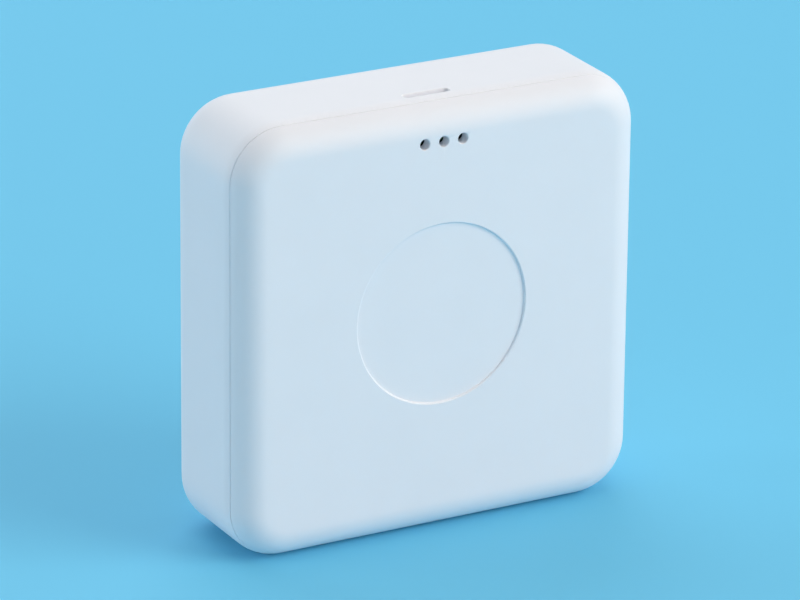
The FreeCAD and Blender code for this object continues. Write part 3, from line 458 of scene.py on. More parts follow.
def endCapped(name, key, node):
    # a row of small parts along X: a plain middle with tinned ends, by the place along each part
    values, graph = smallPartValues, Graph(name)
    low, high = cornersOf(node)
    length, margin = values["length"], values["margin"]
    pitch = (high[0] - low[0] - length) / (values["inRow"] - 1)
    along = (graph.axis("X") / millimetre - (low[0] - margin)) % pitch - margin
    ends = abs(along - length / 2) > values["bodyLength"] / 2
    grit = graph.noise(0.12, detail=3.0)
    base = graph.mix(0.2 * grit, graph.mix(ends, *tones(key)), hexColor(values["smudge"]))
    gloss = uneven(0.5 - 0.16 * ends, (0.12, grit))
    normal = graph.bump(grit, 0.006, strength=0.8)
    return graph.finish(base, gloss, normal, {"Metallic": 0.9 * ends})


def clearFinish(name, tint, roughness=0.03, index=1.49):
    # a clear sheet: mostly see-through face on, mirror-like at a slant, with faint wipe marks
    graph = Graph(name)
    gloss = roughness + 0.05 * graph.noise(7.0, detail=5.0, roughness=0.6)
    normal = graph.bump(graph.noise(0.5, detail=1.0), 0.0008, strength=0.4)
    surface = graph.principled((1, 1, 1, 1), gloss, normal, {"IOR": index, "Metallic": 1.0})
    through = graph.node("BsdfTransparent", None, {"Color": hexColor(tint)})
    # only the faces that light enters by reflect, so what lies behind the sheet stays lit
    entering = 1 - graph.node("NewGeometry", output="Backfacing")
    mirrored = entering * graph.node("Fresnel", None, {"IOR": index})
    return graph.done(graph.node("MixShader", None, {0: mirrored, 1: through, 2: surface}))


def printedInk(name, key, roughness=0.5):
    # a screen-printed layer: even colour with a very fine mesh grain
    graph = Graph(name)
    mesh = graph.noise(0.09, detail=1.0)
    base = graph.mix(0.6 * graph.noise(6.0) + 0.25 * mesh, *tones(key))
    gloss = uneven(roughness, (0.1, mesh))
    return graph.finish(base, gloss, graph.bump(mesh, 0.001, strength=0.5))


def lcdFinish(name, key):
    # a reflective display seen through its polariser: pearly grey-green with a fine sparkle
    graph = Graph(name)
    pearl = graph.noise(0.12)
    base = graph.mix(0.5 * graph.noise(14.0, detail=1.0) + 0.35 * pearl, *tones(key))
    gloss = uneven(0.36, (0.12, pearl))
    return graph.finish(base, gloss, graph.bump(pearl, 0.003, strength=0.5))


def stripedRubber(name, key, pitch=0.18):
    # a contact strip of thin dark and pale layers across its length
    graph = Graph(name)
    dark = (graph.axis("X") / (pitch * millimetre)) % 1.0 < 0.5
    grit = graph.noise(0.2)
    base = graph.mix(dark, *tones(key))
    gloss = uneven(0.62, (0.1, grit))
    return graph.finish(base, gloss, graph.bump(grit, 0.01, strength=0.6))


def sleeveFinish(name, key, middle, halfLength, band=(0.42, 0.9), shade="1a1a1c"):
    # a shrunk plastic sleeve, dark with one metallic band near the raised end, faintly wrinkled;
    # the band's two ends are shares of the way from the cell's middle to its raised end
    graph = Graph(name)
    along = (graph.axis("X") / millimetre - middle) / halfLength
    banded = (along > band[0]) * (along < band[1])
    wrinkle = graph.noise(1.6, detail=3.0)
    flakes = graph.noise(0.08)
    base = graph.mix(0.25 * flakes, graph.mix(banded, *tones(key)), hexColor(shade))
    gloss = uneven(0.26, (0.14, wrinkle), (0.06, flakes))
    more = {"Metallic": 0.85 * banded, "Coat Weight": 0.5, "Coat Roughness": 0.12}
    return graph.finish(base, gloss, graph.bump(wrinkle, 0.02, strength=0.5), more)


housing = mouldedPlastic("satinWhiteHousing", "housing")
framePlastic = mouldedPlastic("innerFramePlastic", "frame", roughness=0.5, grain=0.003)
buttonPlastic = mouldedPlastic("buttonPlastic", "button", roughness=0.36)
darkInsert = mouldedPlastic("darkInsert", "insert", roughness=0.48, grain=0.002)
whiteRing = mouldedPlastic("insulatingRing", "insulator", roughness=0.5)
nickel = platedMetal("nickelPlate", "nickelPlate", roughness=0.26, brushed=(1.0, 1.0, 4.0))
springSteel = platedMetal("nickelWire", "nickelWire", roughness=0.22)
gold = platedMetal("goldPins", "goldFlash", roughness=0.24, brushed=(4.0, 1.0, 4.0))
foam = foamFinish("closedCellFoam", "foam")
greenBoard = boardFinish("greenBoard", "mainBoard")
blackEpoxy = chipFinish("blackEpoxy", "epoxy")
clearWindow = clearFinish("clearWindow", "fbfcfc")
borderInk = printedInk("windowBorderInk", "borderInk")
darkInk = printedInk("displayInk", "litInk", roughness=0.42)
ghostInk = printedInk("restingInk", "restingInk", roughness=0.42)
lcdFace = lcdFinish("displayPolariser", "polariser")
print("finishes made")


# The housing

bodyValues = {
    "cornerRadius": 7.6,
    "frontRound": 4.0,
    "backRound": 4.4,
    "wall": 1.6,
    "frontWall": 1.8,
    "lapInset": 1.1,
    "lapDepth": 2.1,
    "seamEdge": 0.08,
    "lapEdge": 0.12,
    "frontInset": 5.2,
    "insideInset": 5.4,
    "arcSteps": 18,
}


def bodyRings(profile):
    # the body's rounded square drawn in by the profile's first column, at the depth in its second
    return plateRings(bodyWidth, bodyHeight, bodyValues["cornerRadius"], bodyMiddle, profile)


def plateRings(width, height, radius, middle, profile):
    # the same for a rounded rectangle of any size
    return standUp(roundedRings(width, height, radius, middle, profile[:, 0]), profile[:, 1])


def slab(width, height, radius, middle, low, high, edge, steps=4):
    # a rounded plate facing Y, with both of its rims rounded; its flats close round their middles
    inside = min(width, height) / 2 - middleGap
    corners = [(inside, low, 0), (0, low, edge), (0, high, edge), (inside, high, 0)]
    return loft(plateRings(width, height, radius, middle, softProfile(corners, steps)))


def ringWall(width, height, radius, middle, wall, low, high, edge, steps=3):
    # a flat ring facing Y: its section is a rounded rectangle carried round the outline
    start = (0, (low + high) / 2, 0)
    corners = [(0, low, edge), (wall, low, edge), (wall, high, edge), (0, high, edge)]
    section = softProfile([start, *corners, start], steps)[:-1]
    return loft(plateRings(width, height, radius, middle, section), closed=True)


def turned(profile, middle, axis, around=48):
    # a profile of (place along the axis, radius) turned round X or Y through a middle point
    turn = np.linspace(0, 2 * np.pi, around, endpoint=False)
    rings = profile[:, 1, None, None] * np.stack([np.cos(turn), np.sin(turn)], -1)
    order = (1, 2, 0) if axis == "X" else (0, 2, 1)
    return standUp(rings, profile[:, 0], order) + np.asarray(middle, float)


def softPolygon(corners, steps=3):
    # a closed outline with rounded corners, starting halfway along its last side
    start = (np.array(corners[-1][:2]) + np.array(corners[0][:2])) / 2
    return softProfile([(*start, 0), *corners, (*start, 0)], steps)[:-1]


def prism(outline, low, high, order):
    # an outline carried straight from low to high
    rings = np.broadcast_to(outline, (2, *outline.shape))
    return loft(standUp(rings, [low, high], order))


viewValues = {
    "width": 41.4,
    "height": 38.4,
    "radius": 3.0,
    "ledge": 1.05,
    "windowGap": 0.08,
    "windowRadius": 4.2,
    "rimEdge": 0.14,
    "joinInset": 0.3,
}

latchValues = {
    "slotWidth": 6.8,
    "slotLow": 4.0,
    "slotHigh": 5.3,
    "slotCorner": 0.5,
    "slotFlare": 0.12,
    "slotCut": 3.2,
    "slotPast": (-0.3, 0.14),
    "pocketPlay": 0.2,
    "pocketMouth": 0.3,
    "hookPlay": 0.1,
    "hookWidth": 6.0,
    "hookOuter": 1.7,
    "hookInner": 2.8,
    "hookEnd": 2.8,
    "hookNose": 0.5,
    "hookSpacing": 32.0,
    "topReach": 0.9,
    "sideReach": 0.5,
}
latchPlaces = [
    ("top", 0.0, latchValues["topReach"]),
    ("bottom", -latchValues["hookSpacing"] / 2, latchValues["sideReach"]),
    ("bottom", latchValues["hookSpacing"] / 2, latchValues["sideReach"]),
    ("right", bodyHeight / 2, latchValues["sideReach"]),
    ("left", bodyHeight / 2, latchValues["sideReach"]),
]


def onSide(side, insetAndDepth):
    # turn (inset, depth) columns to one side of the body, and say which axes they lie on
    inset, depth = insetAndDepth[:, 0], insetAndDepth[:, 1]
    across = {
        "top": bodyHeight - inset,
        "bottom": inset,
        "right": bodyWidth / 2 - inset,
        "left": inset - bodyWidth / 2,
    }[side]
    order = (2, 1, 0) if side in ("top", "bottom") else (0, 1, 2)
    return np.stack([across, depth], -1), order


def sidePrism(side, place, width, outline):
    # an outline of (inset, depth) carried along one side of the body, centred on a place
    placed, order = onSide(side, outline)
    return prism(placed, place - width / 2, place + width / 2, order)


bossValues = {
    "radius": 2.0,
    "bore": 1.075,
    "boreEdge": 0.08,
    "root": 0.2,
    "ribStart": 1.6,
    "ribEnd": 3.75,
    "ribThick": 0.8,
    "ribShort": 0.8,
    "ribCorner": 0.1,
}

screwValues = {
    "head": 1.7,
    "headHeight": 1.1,
    "headSide": 0.35,
    "headEdge": 0.08,
    "crownRadius": 1.1,
    "crownRound": 0.6,
    "crownMiddle": 0.3,
    "shank": 1.0,
    "tipLength": 0.6,
    "tipRadius": 0.4,
    "crossReach": 1.0,
    "crossHalf": 0.25,
    "crossEdge": 0.06,
    "crossDepth": 0.55,
    "crossPast": 0.5,
    "crossTurns": (12, 55, 34, 78),
}


def screwPlaces():
    # the four screw axes, one head's radius inside the corners of the screws' own box
    low, high = cornersOf("frame_screws")
    across, up = ((low[i] + screwValues["head"], high[i] - screwValues["head"]) for i in (0, 2))
    return [(x, z) for x in across for z in up]


def flaredCut(depth, flare, past, steps):
    # the side of an opening as (inset, outwards): straight, then an arc that widens it, and past
    # the face, which a last step clears
    mouth = arcPoints((-flare, -flare), flare, start=0, end=65, steps=steps)
    return np.concatenate([[[0, -depth]], mouth, [mouth[-1] + past]])


def latchCutters():
    # the open slot in the top, flared at its mouth, and the blind pockets in the other sides
    values = latchValues
    low, high = values["slotLow"], values["slotHigh"]
    section = flaredCut(values["slotCut"], values["slotFlare"], values["slotPast"], steps=4)
    slot = roundedRings(
        values["slotWidth"],
        high - low,
        values["slotCorner"],
        [0, (low + high) / 2],
        section[:, 0],
        cornerSteps=6,
        sideSteps=6,
    )
    cutters = [loft(standUp(slot, bodyHeight + section[:, 1], (0, 1, 2)))]
    past = bodyValues["wall"] + values["pocketMouth"]
    for side, place, reach in latchPlaces[1:]:
        bottom = bodyValues["wall"] - reach - values["pocketPlay"]
        ends = [(bottom, low, fineEdge), (past, low, 0), (past, high, 0), (bottom, high, fineEdge)]
        cutters.append(sidePrism(side, place, values["slotWidth"], softPolygon(ends)))
    return cutters


def screwBosses(inside):
    # a turned tube round each screw, and two ribs from each tube to the nearest walls, all of
    # them rooted in the front wall, whose inner face is inside
    values = bossValues
    foot, top = inside - values["root"], cornersOf("main_board")[0][1]
    outer, bore = values["radius"], values["bore"]
    rim = [(top, outer, fineEdge), (top, bore, values["boreEdge"])]
    section = softPolygon([(foot, outer, 0), *rim, (foot, bore, 0)])
    start, end = values["ribStart"], values["ribEnd"]
    tubes, ribs = [], []
    for x, z in screwPlaces():
        tubes.append(loft(turned(section, (x, 0, z), "Y", around=32), closed=True))
        outward = (math.copysign(1, x), math.copysign(1, z - bodyHeight / 2))
        for axis in (0, 1):
            size = [values["ribThick"]] * 2
            size[axis] = end - start
            middle = np.array([x, z])
            middle[axis] += outward[axis] * (start + end) / 2
            ends = foot, top - values["ribShort"]
            ribs.append(slab(*size, values["ribCorner"], middle, *ends, fineEdge))
    return tubes, ribs


def frontShell():
    # one closed section carried round the body: window opening, ledge, front, side, rim and inside
    values, view = bodyValues, viewValues
    front, inside = frontFace, frontFace + values["frontWall"]
    ledge, join = frontFace + view["ledge"], view["joinInset"]
    opening = softProfile([
        (-join, inside, 0),
        (0, inside, easedEdge),
        (0, ledge, fineEdge),
        (-join, ledge, 0),
    ], steps=3)
    recess = softProfile([
        (join, ledge, 0),
        (0, ledge, crispEdge),
        (0, front, view["rimEdge"]),
        (-join, front, 0),
    ], steps=4)
    backRound, wall = values["backRound"], values["wall"]
    backCentre = backFace - backRound
    seamTurn = math.degrees(math.asin((seam - backCentre) / backRound))
    backArc = arcPoints((backRound, backCentre), backRound, 180, 180 - seamTurn, steps=8)
    lap, lapStart = values["lapInset"], seam - values["lapDepth"]
    frontCorner = [(values["frontInset"], front, 0), (0, front, values["frontRound"]), (0, 0, 0)]
    side = softProfile(frontCorner, values["arcSteps"], guard=0.4)
    rim = softProfile([
        (*backArc[-2], 0),
        (backArc[-1, 0], seam, values["seamEdge"]),
        (lap, seam, values["lapEdge"]),
        (lap, lapStart, crispEdge),
        (wall, lapStart, softEdge),
        (wall, inside, values["frontRound"] - values["frontWall"]),
        (values["insideInset"], inside, 0),
    ])
    gap = view["windowGap"]
    width, _, height = windowHigh - windowLow + 2 * gap
    shapes = [
        plateRings(view["width"], view["height"], view["radius"], displayMiddle, opening),
        plateRings(width, height, view["windowRadius"] + gap, displayMiddle, recess),
        bodyRings(np.concatenate([side, backArc[:-2], rim])),
    ]
    piece = solid("frontShell", [loft(np.concatenate(shapes), closed=True)])
    carve(piece, latchCutters())
    for parts in screwBosses(inside):
        carve(piece, parts, "UNION")
    finishPiece(piece, [housing], "front_shell")
    print("front shell made")


coverValues = {
    "innerFace": 8.15,
    "lipInner": 2.2,
    "lipOuter": 1.2,
    "lipEnd": 4.9,
    "start": 6.95,
    "middleInset": 27.0,
    "flatStart": 0.4,
    "recessRadius": 12.5,
    "recessDepth": 0.35,
    "recessBevel": 0.13,
    "bevelEdge": 0.03,
    "floorEdge": 0.06,
    "recessMargin": 0.8,
    "floorMiddle": 1.0,
    "holeRadius": 0.725,
    "holePitch": 2.81,
    "holeFlare": 0.12,
    "holeCut": 4.0,
    "holePast": (-0.26, 0.12),
    "ribWall": 0.8,
    "ribHeight": 0.6,
    "ribGap": 0.1,
    "ribCorner": 0.9,
    "ribEdge": 0.12,
    "rootDepth": 0.4,
}


def coverFences(root):
    # low ribs on the inside, round the sensor's gasket and the foam pad; root is the depth inside
    # the cover's wall at which they start
    values = coverValues
    wall, top = values["ribWall"], values["innerFace"] - values["ribHeight"]
    around = 2 * (values["ribGap"] + wall)
    fences = []
    for node in ("sensor_gasket", "cover_foam_pad"):
        width, height, middle = planOf(node)[:3]
        outline = (width + around, height + around, values["ribCorner"], middle)
        fences.append(ringWall(*outline, wall, top, root, values["ribEdge"]))
    return fences


def coverHooks(root):
    # five hooks: a stem on the cover's inside and a tip that reaches outwards into its catch
    values = latchValues
    low, high = values["slotLow"] + values["hookPlay"], values["slotHigh"] - values["hookPlay"]
    inner, outer, end = values["hookInner"], values["hookOuter"], values["hookEnd"]
    hooks = []
    for side, place, reach in latchPlaces:
        tip = bodyValues["wall"] - reach
        outline = softPolygon([
            (inner, end, easedEdge),
            (inner, root, 0),
            (outer, root, 0),
            (outer, high, crispEdge),
            (tip, high, softEdge),
            (tip, low + values["hookNose"], easedEdge),
            (outer, low, fullEdge),
            (outer, end, fullEdge),
        ])
        hooks.append(sidePrism(side, place, values["hookWidth"], outline))
    return hooks


def airHoles():
    # three round holes in a row in front of the sensor, flared at the back face
    values = coverValues
    side = flaredCut(values["holeCut"], values["holeFlare"], values["holePast"], steps=5)
    section = side[:, ::-1] * [1, -1] + [backFace, values["holeRadius"]]
    height = planOf("sensor_chip")[2][1]
    places = [(step * values["holePitch"], 0, height) for step in (-1, 0, 1)]
    return [loft(turned(section, place, "Y", around=40)) for place in places]


def backCover():
    # from the middle of its inside, round the lip and the back's rounded edge, to the recess floor
    values = coverValues
    bend, innerFace = bodyValues["backRound"], values["innerFace"]
    centre = backFace - bend
    startTurn = math.degrees(math.asin((values["start"] - centre) / bend))
    arc = arcPoints((bend, centre), bend, 180 - startTurn, 90, bodyValues["arcSteps"])
    inner = softProfile([
        (values["middleInset"], innerFace, 0),
        (values["lipInner"], innerFace, broadEdge),
        (values["lipInner"], values["lipEnd"], softEdge),
        (values["lipOuter"], values["lipEnd"], broadEdge),
        (values["lipOuter"], values["start"], fineEdge),
        (*arc[0], bodyValues["seamEdge"]),
        (*arc[1], 0),
    ])
    rings = bodyRings(np.concatenate([inner, arc[2:], [[bend + values["flatStart"], backFace]]]))
    mounts = {mount["name"]: mount for mount in frame["record"]["mounts"]}
    recessMiddle = mounts["pad_recess"]["pos_m"][2] / millimetre
    towards = rings[-1][:, [0, 2]] - [0, recessMiddle]  # from the recess's middle outwards
    towards /= np.linalg.norm(towards, axis=1, keepdims=True)
    radius, bevel = values["recessRadius"], values["recessBevel"]
    floor = backFace - values["recessDepth"]
    sweep = softProfile([
        (radius + bevel + values["recessMargin"], backFace, 0),
        (radius + bevel, backFace, crispEdge),
        (radius, backFace - bevel, values["bevelEdge"]),
        (radius, floor, values["floorEdge"]),
        (values["floorMiddle"], floor, 0),
    ], steps=4, guard=0.06)
    circles = [0, recessMiddle] + sweep[:, 0, None, None] * towards
    piece = solid("backCover", [loft(np.concatenate([rings, standUp(circles, sweep[:, 1])]))])
    root = innerFace + values["rootDepth"]
    carve(piece, coverFences(root), "UNION")
    carve(piece, coverHooks(root), "UNION")
    carve(piece, airHoles())
    finishPiece(piece, [housing], "back_cover", "back_cover_body")
    print("back cover made")


frontShell()
backCover()


# The display

# places are (across, up from the middle of the display), in millimetres
displayValues = {
    "faceCorner": 0.3,
    "borderWidth": 2.9,
    "borderThick": 0.03,
    "borderInset": 0.15,
    "borderGap": 0.01,
    "borderEdge": 0.008,
    "slant": 0.10,
    "inkThick": 0.012,
    "inkGap": 0.004,
    "inkEdge": 0.003,
    "bigDigit": {"height": 14.0, "width": 7.8, "stroke": 1.55, "gap": 0.16},
    "smallDigit": {"height": 9.2, "width": 5.2, "stroke": 1.05, "gap": 0.12},
    "unitDigit": {"height": 4.2, "width": 2.6, "stroke": 0.55, "gap": 0.07},
    "signs": [
        ("2", "bigDigit", (-17.2, 0.6)),
        ("3", "bigDigit", (-7.6, 0.6)),
        ("5", "bigDigit", (3.6, 0.6)),
        ("4", "smallDigit", (-1.9, -14.2)),
        ("8", "smallDigit", (4.6, -14.2)),
        ("C", "unitDigit", (14.0, 10.4)),
    ],
    "point": ((2.15, 1.3), 0.8),
    "pointSteps": 24,
    "rings": [
        ((12.9, 13.8), 0.75, 0.32),
        ((11.95, -10.65), 0.65, 0.28),
        ((13.85, -13.35), 0.65, 0.28),
    ],
    "slash": ((11.6, -14.2), (14.2, -9.8), 0.5),
    "drop": ((-5.9, -10.2), 2.3),
    "divider": (17.4, -2.4, -2.2),
}

# which of the segments a to g each sign lights, clockwise from the top with the middle last
segmentSigns = {"2": "abged", "3": "abgcd", "4": "fgbc", "5": "afgcd", "8": "abcdefg", "C": "afed"}


def segmentEnds(style, origin):
    # the two ends of each segment's centre line, between the corners of a figure of eight
    width, height, stroke = style["width"], style["height"], style["stroke"]
    left, right = stroke / 2, width - stroke / 2
    low, middle, high = stroke / 2, height / 2, height - stroke / 2
    ends = {
        "a": ((left, high), (right, high)),
        "b": ((right, high), (right, middle)),
        "c": ((right, middle), (right, low)),
        "d": ((left, low), (right, low)),
        "e": ((left, middle), (left, low)),
        "f": ((left, high), (left, middle)),
        "g": ((left, middle), (right, middle)),
    }
    return {name: np.array(pair) + origin for name, pair in ends.items()}


def strokeOutline(start, end, stroke, gap):
    # a bar with pointed ends along a line: six corners, from one tip round to the other and back
    along = (end - start) / np.linalg.norm(end - start)
    side = np.array([-along[1], along[0]]) * stroke / 2
    tip, shoulder = along * gap, along * (gap + stroke / 2)
    corners = [start + tip, start + shoulder + side, end - shoulder + side]
    corners += [end - tip, end - shoulder - side, start + shoulder - side]
    return np.array(corners)


def inkPrism(outline, depth, slant=displayValues["slant"]):
    # a thin printed shape in front of the display's face, leaning to the right as it rises; depth
    # is where its back lies
    leaning = outline + outline[:, 1:] * [slant, 0] + displayMiddle
    return prism(leaning, depth - displayValues["inkThick"], depth, (0, 2, 1))


def inkRing(middle, radius, stroke, depth):
    # a printed circle line
    across, up = middle
    values = displayValues
    place = displayMiddle + [across + values["slant"] * up, up]
    outline, front = (2 * radius, 2 * radius, radius, place), depth - values["inkThick"]
    return ringWall(*outline, stroke, front, depth, values["inkEdge"], steps=1)


def dropOutline(middle, size, steps=28, slim=0.72, power=1.6):
    # the teardrop curve: up = cos t, across = sin t times a power of sin(t / 2), tip upwards
    turn = np.linspace(0, 2 * np.pi, steps, endpoint=False)
    across = np.sin(turn) * np.sin(turn / 2) ** power
    return np.array(middle) + size * np.stack([slim * across, np.cos(turn)], -1)


def display():
    # a clear window over a printed border, and the segments of two readings on the display
    values = displayValues
    width, _, height = windowHigh - windowLow
    corner = viewValues["windowRadius"]
    window = slab(width, height, corner, displayMiddle, windowLow[1], windowHigh[1], softEdge)
    finishPiece(solid("displayWindow", [window]), [clearWindow], "display_window")
    inset, behind = values["borderInset"], windowHigh[1] - values["borderGap"]
    outline = (width - 2 * inset, height - 2 * inset, corner - inset, displayMiddle)
    ahead = behind - values["borderThick"]
    border = ringWall(*outline, values["borderWidth"], ahead, behind, values["borderEdge"])
    finishPiece(solid("windowBorder", [border]), [borderInk])

    width, height, _, front, back = planOf("lcd_front_polarizer")
    outline = (width, height, values["faceCorner"], displayMiddle)
    face = slab(*outline, front, back, crispEdge, steps=2)
    finishPiece(solid("displayFace", [face]), [lcdFace], "lcd_front_polarizer")

    depth = front - values["inkGap"]
    lit, resting = [], []
    for sign, size, place in values["signs"]:
        style = values[size]
        for name, (start, end) in segmentEnds(style, place).items():
            bar = inkPrism(strokeOutline(start, end, style["stroke"], style["gap"]), depth)
            if name in segmentSigns[sign]:
                lit.append(bar)
            elif size != "unitDigit":
                resting.append(bar)
    middle, radius = values["point"]
    steps = values["pointSteps"]
    circle = arcPoints((0, 0), radius, 0, 360 - 360 / steps, steps - 1)
    lit.append(inkPrism(middle + circle, depth))
    lit += [inkRing(*ring, depth) for ring in values["rings"]]
    start, end, stroke = values["slash"]
    lit.append(inkPrism(strokeOutline(np.array(start), np.array(end), stroke, gap=0.0), depth))
    lit.append(inkPrism(dropOutline(*values["drop"]), depth, slant=0))
    reach, bottom, top = values["divider"]
    divider = np.array([[-reach, bottom], [reach, bottom], [reach, top], [-reach, top]])
    lit.append(inkPrism(divider, depth, slant=0))
    finishPiece(solid("displayFigures", lit), [darkInk])
    finishPiece(solid("displayRestingFigures", resting), [ghostInk])
    print("display made")


display()


# Cells, springs and screws

# the collar's points are (depth below the shoulder, radius)
cellValues = {
    "nubRadius": 1.9,
    "nubLength": 1.0,
    "nubEdge": 0.12,
    "nubMiddle": 0.5,
    "nubFoot": 2.5,
    "dishDepth": 0.12,
    "dishMiddle": 0.9,
    "dishRadius": 2.6,
    "rimInner": 2.9,
    "rimOuter": 3.7,
    "sleeveStep": 0.22,
    "sleeveRadius": 4.4,
    "sleeveFoot": 0.2,
    "sleeveOverlap": 0.05,
    "collar": ((0.2, 4.1), (0.25, 2.6), (0.1, 2.55)),
    "crimp": 0.35,
    "around": 64,
}


def cell(name, node, direction):
    # a turned profile: flat end with a shallow ring, sleeve curled over both ends, raised end;
    # direction is the way along X that the raised end points
    values = cellValues
    low, high = cornersOf(node)
    outer, length = (high[2] - low[2]) / 2, high[0] - low[0]
    shoulder = length - values["nubLength"]
    dish, step, sleeveRadius = values["dishDepth"], values["sleeveStep"], values["sleeveRadius"]
    collar = np.array([(shoulder - depth, radius) for depth, radius in values["collar"]])
    foot = collar[-1, 0]
    end = softProfile([
        (dish, values["dishMiddle"], 0),
        (dish, values["dishRadius"], fineEdge),
        (0.0, values["rimInner"], fineEdge),
        (0.0, values["rimOuter"], fineEdge),
        (step, sleeveRadius - values["sleeveFoot"], fineEdge),
        (step, sleeveRadius + values["sleeveOverlap"], 0),
    ])
    sleeve = softProfile([
        (step, sleeveRadius, 0),
        (0.0, sleeveRadius, crispEdge),
        (0.0, outer, values["crimp"]),
        (shoulder, outer, values["crimp"]),
        (shoulder, collar[0, 1], crispEdge),
        (*collar[0], 0),
    ])
    nub = softProfile([
        (foot, values["nubFoot"], 0),
        (foot, values["nubRadius"], values["nubEdge"]),
        (length, values["nubRadius"], fullEdge),
        (length, values["nubMiddle"], 0),
    ])
    profile = np.concatenate([end, sleeve, collar, nub])
    parts = np.repeat([0, 1, 2, 0], [len(end), len(sleeve), len(collar), len(nub)])
    middle = (low + high) / 2
    start = low[0] if direction > 0 else high[0]
    profile = np.stack([start + direction * profile[:, 0], profile[:, 1]], -1)
    rings = turned(profile, (0, middle[1], middle[2]), "X", values["around"])
    faces = np.concatenate([np.repeat(parts[:-1], values["around"]), [0, 0]])
    foil = sleeveFinish(name + "Sleeve", "sleeve", middle[0], direction * length / 2)
    piece = solid(name, [loft(rings)], faces)
    finishPiece(piece, [nickel, foil, whiteRing], node)


springValues = {
    "turns": 3.0,
    "wire": 0.5,
    "baseRadius": 2.9,
    "tipRadius": 1.5,
    "endFlat": 0.045,
    "sides": 14,
    "stepsInTurn": 56,
}


def spring(name, node, cellNode, direction):
    # a round wire on a helix whose radius shrinks evenly as it climbs; the first and the last
    # quarter of the way climb slower by a sine, so that the ends sit flat
    values = springValues
    low, high = cornersOf(node)
    turns, wire = values["turns"], values["wire"]
    length = high[0] - low[0] - wire
    t = np.linspace(0, 1, int(turns * values["stepsInTurn"]) + 1)
    angle = 2 * np.pi * turns * t
    radius = values["baseRadius"] + (values["tipRadius"] - values["baseRadius"]) * t
    climb = length * (t - values["endFlat"] * np.sin(2 * np.pi * t))
    path = np.stack([climb, radius * np.cos(angle), radius * np.sin(angle)], -1)
    tangent = np.gradient(path, axis=0)
    tangent /= np.linalg.norm(tangent, axis=1, keepdims=True)
    outward = np.stack([0 * t, np.cos(angle), np.sin(angle)], -1)
    side = np.cross(tangent, outward)
    side /= np.linalg.norm(side, axis=1, keepdims=True)
    outward = np.cross(side, tangent)
    turn = np.linspace(0, 2 * np.pi, values["sides"], endpoint=False)[None, :, None]
    circle = outward[:, None] * np.cos(turn) + side[:, None] * np.sin(turn)
    rings = path[:, None] + wire / 2 * circle
    start = low[0] + wire / 2 if direction > 0 else high[0] - wire / 2
    rings[..., 0] = start + direction * rings[..., 0]
    rings[..., 1:] += sum(cornersOf(cellNode))[1:] / 2
    finishPiece(solid(name, [loft(rings)]), [springSteel], node, sharp=60)


def crossOutline(middle, degrees):
    # a cross: each quarter has the two corners of an arm's end and the corner between two arms
    values = screwValues
    reach, half = values["crossReach"], values["crossHalf"]
    quarter = np.array([[reach, -half], [reach, half], [half, half]])
    turn = np.radians(degrees + 90 * np.arange(4))[:, None]
    across = quarter[:, 0] * np.cos(turn) - quarter[:, 1] * np.sin(turn)
    up = quarter[:, 0] * np.sin(turn) + quarter[:, 1] * np.cos(turn)
    corners = np.stack([across, up], -1).reshape(-1, 2) + middle
    return softPolygon([(*corner, values["crossEdge"]) for corner in corners], steps=2)


def screws():
    # pan heads turned round their axes, with a cross cut into each
    low, high = cornersOf("frame_screws")
    values = screwValues
    end, top = low[1], high[1]
    under = top - values["headHeight"]
    section = softProfile([
        (end, values["tipRadius"], 0),
        (end + values["tipLength"], values["shank"], fullEdge),
        (under, values["shank"], fineEdge),
        (under, values["head"], values["headEdge"]),
        (under + values["headSide"], values["head"], fineEdge),
        (top, values["crownRadius"], values["crownRound"]),
        (top, values["crownMiddle"], 0),
    ])
    heads, crosses = [], []
    for place, degrees in zip(screwPlaces(), values["crossTurns"]):
        heads.append(loft(turned(section, (place[0], 0, place[1]), "Y", around=40)))
        ends = top - values["crossDepth"], top + values["crossPast"]
        crosses.append(prism(crossOutline(place, degrees), *ends, (0, 2, 1)))
    piece = solid("frameScrews", heads)
    carve(piece, crosses)
    finishPiece(piece, [nickel], "frame_screws")


cell("cellUpper", "battery_upper", 1)
cell("cellLower", "battery_lower", -1)
spring("linkSpring", "battery_link_spring", "battery_upper", 1)
spring("negativeSpring", "battery_negative_spring", "battery_lower", -1)
screws()
print("cells, springs and screws made")


# Soft parts

padValues = {
    "crown": 0.16,
    "waist": 0.10,
    "rim": 0.22,
    "half": 6.6,
    "corner": 0.6,
    "gluedInset": 0.4,
    "crownSteps": 11,
    "rimSteps": 6,
    "sideSteps": 7,
}


def foamPad():
    # a glued foam rectangle: its free face falls off by the cube of the way out from its middle,
    # and its sides are drawn in by half a sine wave between their edges
    values = padValues
    width, height, middle, free, glued = planOf("cover_foam_pad")
    rim, half = values["rim"], values["half"]
    share = np.linspace(0, 1, values["crownSteps"] + 1)
    crown = np.stack([half - (half - rim) * share, free + values["crown"] * share ** 3], -1)
    edge = arcPoints((rim, crown[-1, 1] + rim), rim, -90, -180, values["rimSteps"])[1:]
    fall = np.linspace(0, 1, values["sideSteps"] + 1)[1:]
    inwards = values["waist"] * np.sin(np.pi * fall)
    side = np.stack([inwards, edge[-1, 1] + (glued - edge[-1, 1]) * fall], -1)
    back = [[values["gluedInset"], glued], [half, glued]]
    section = np.concatenate([crown, edge, side, back])
    rings = plateRings(width, height, values["corner"], middle, section)
    piece = solid("coverFoamPad", [loft(rings)])
    finishPiece(piece, [foam], "cover_foam_pad", "back_cover_body", sharp=60)


gasketValues = {"sensorWall": 0.6, "displayWall": 0.52, "corner": 0.5, "roll": 0.16}


def foamRing(name, node, wall):
    # a die-cut foam frame with edges that roll over a little
    width, height, middle, front, back = planOf(node)
    outline = (width, height, gasketValues["corner"], middle)
    piece = solid(name, [ringWall(*outline, wall, front, back, gasketValues["roll"])])
    finishPiece(piece, [foam], node, sharp=60)


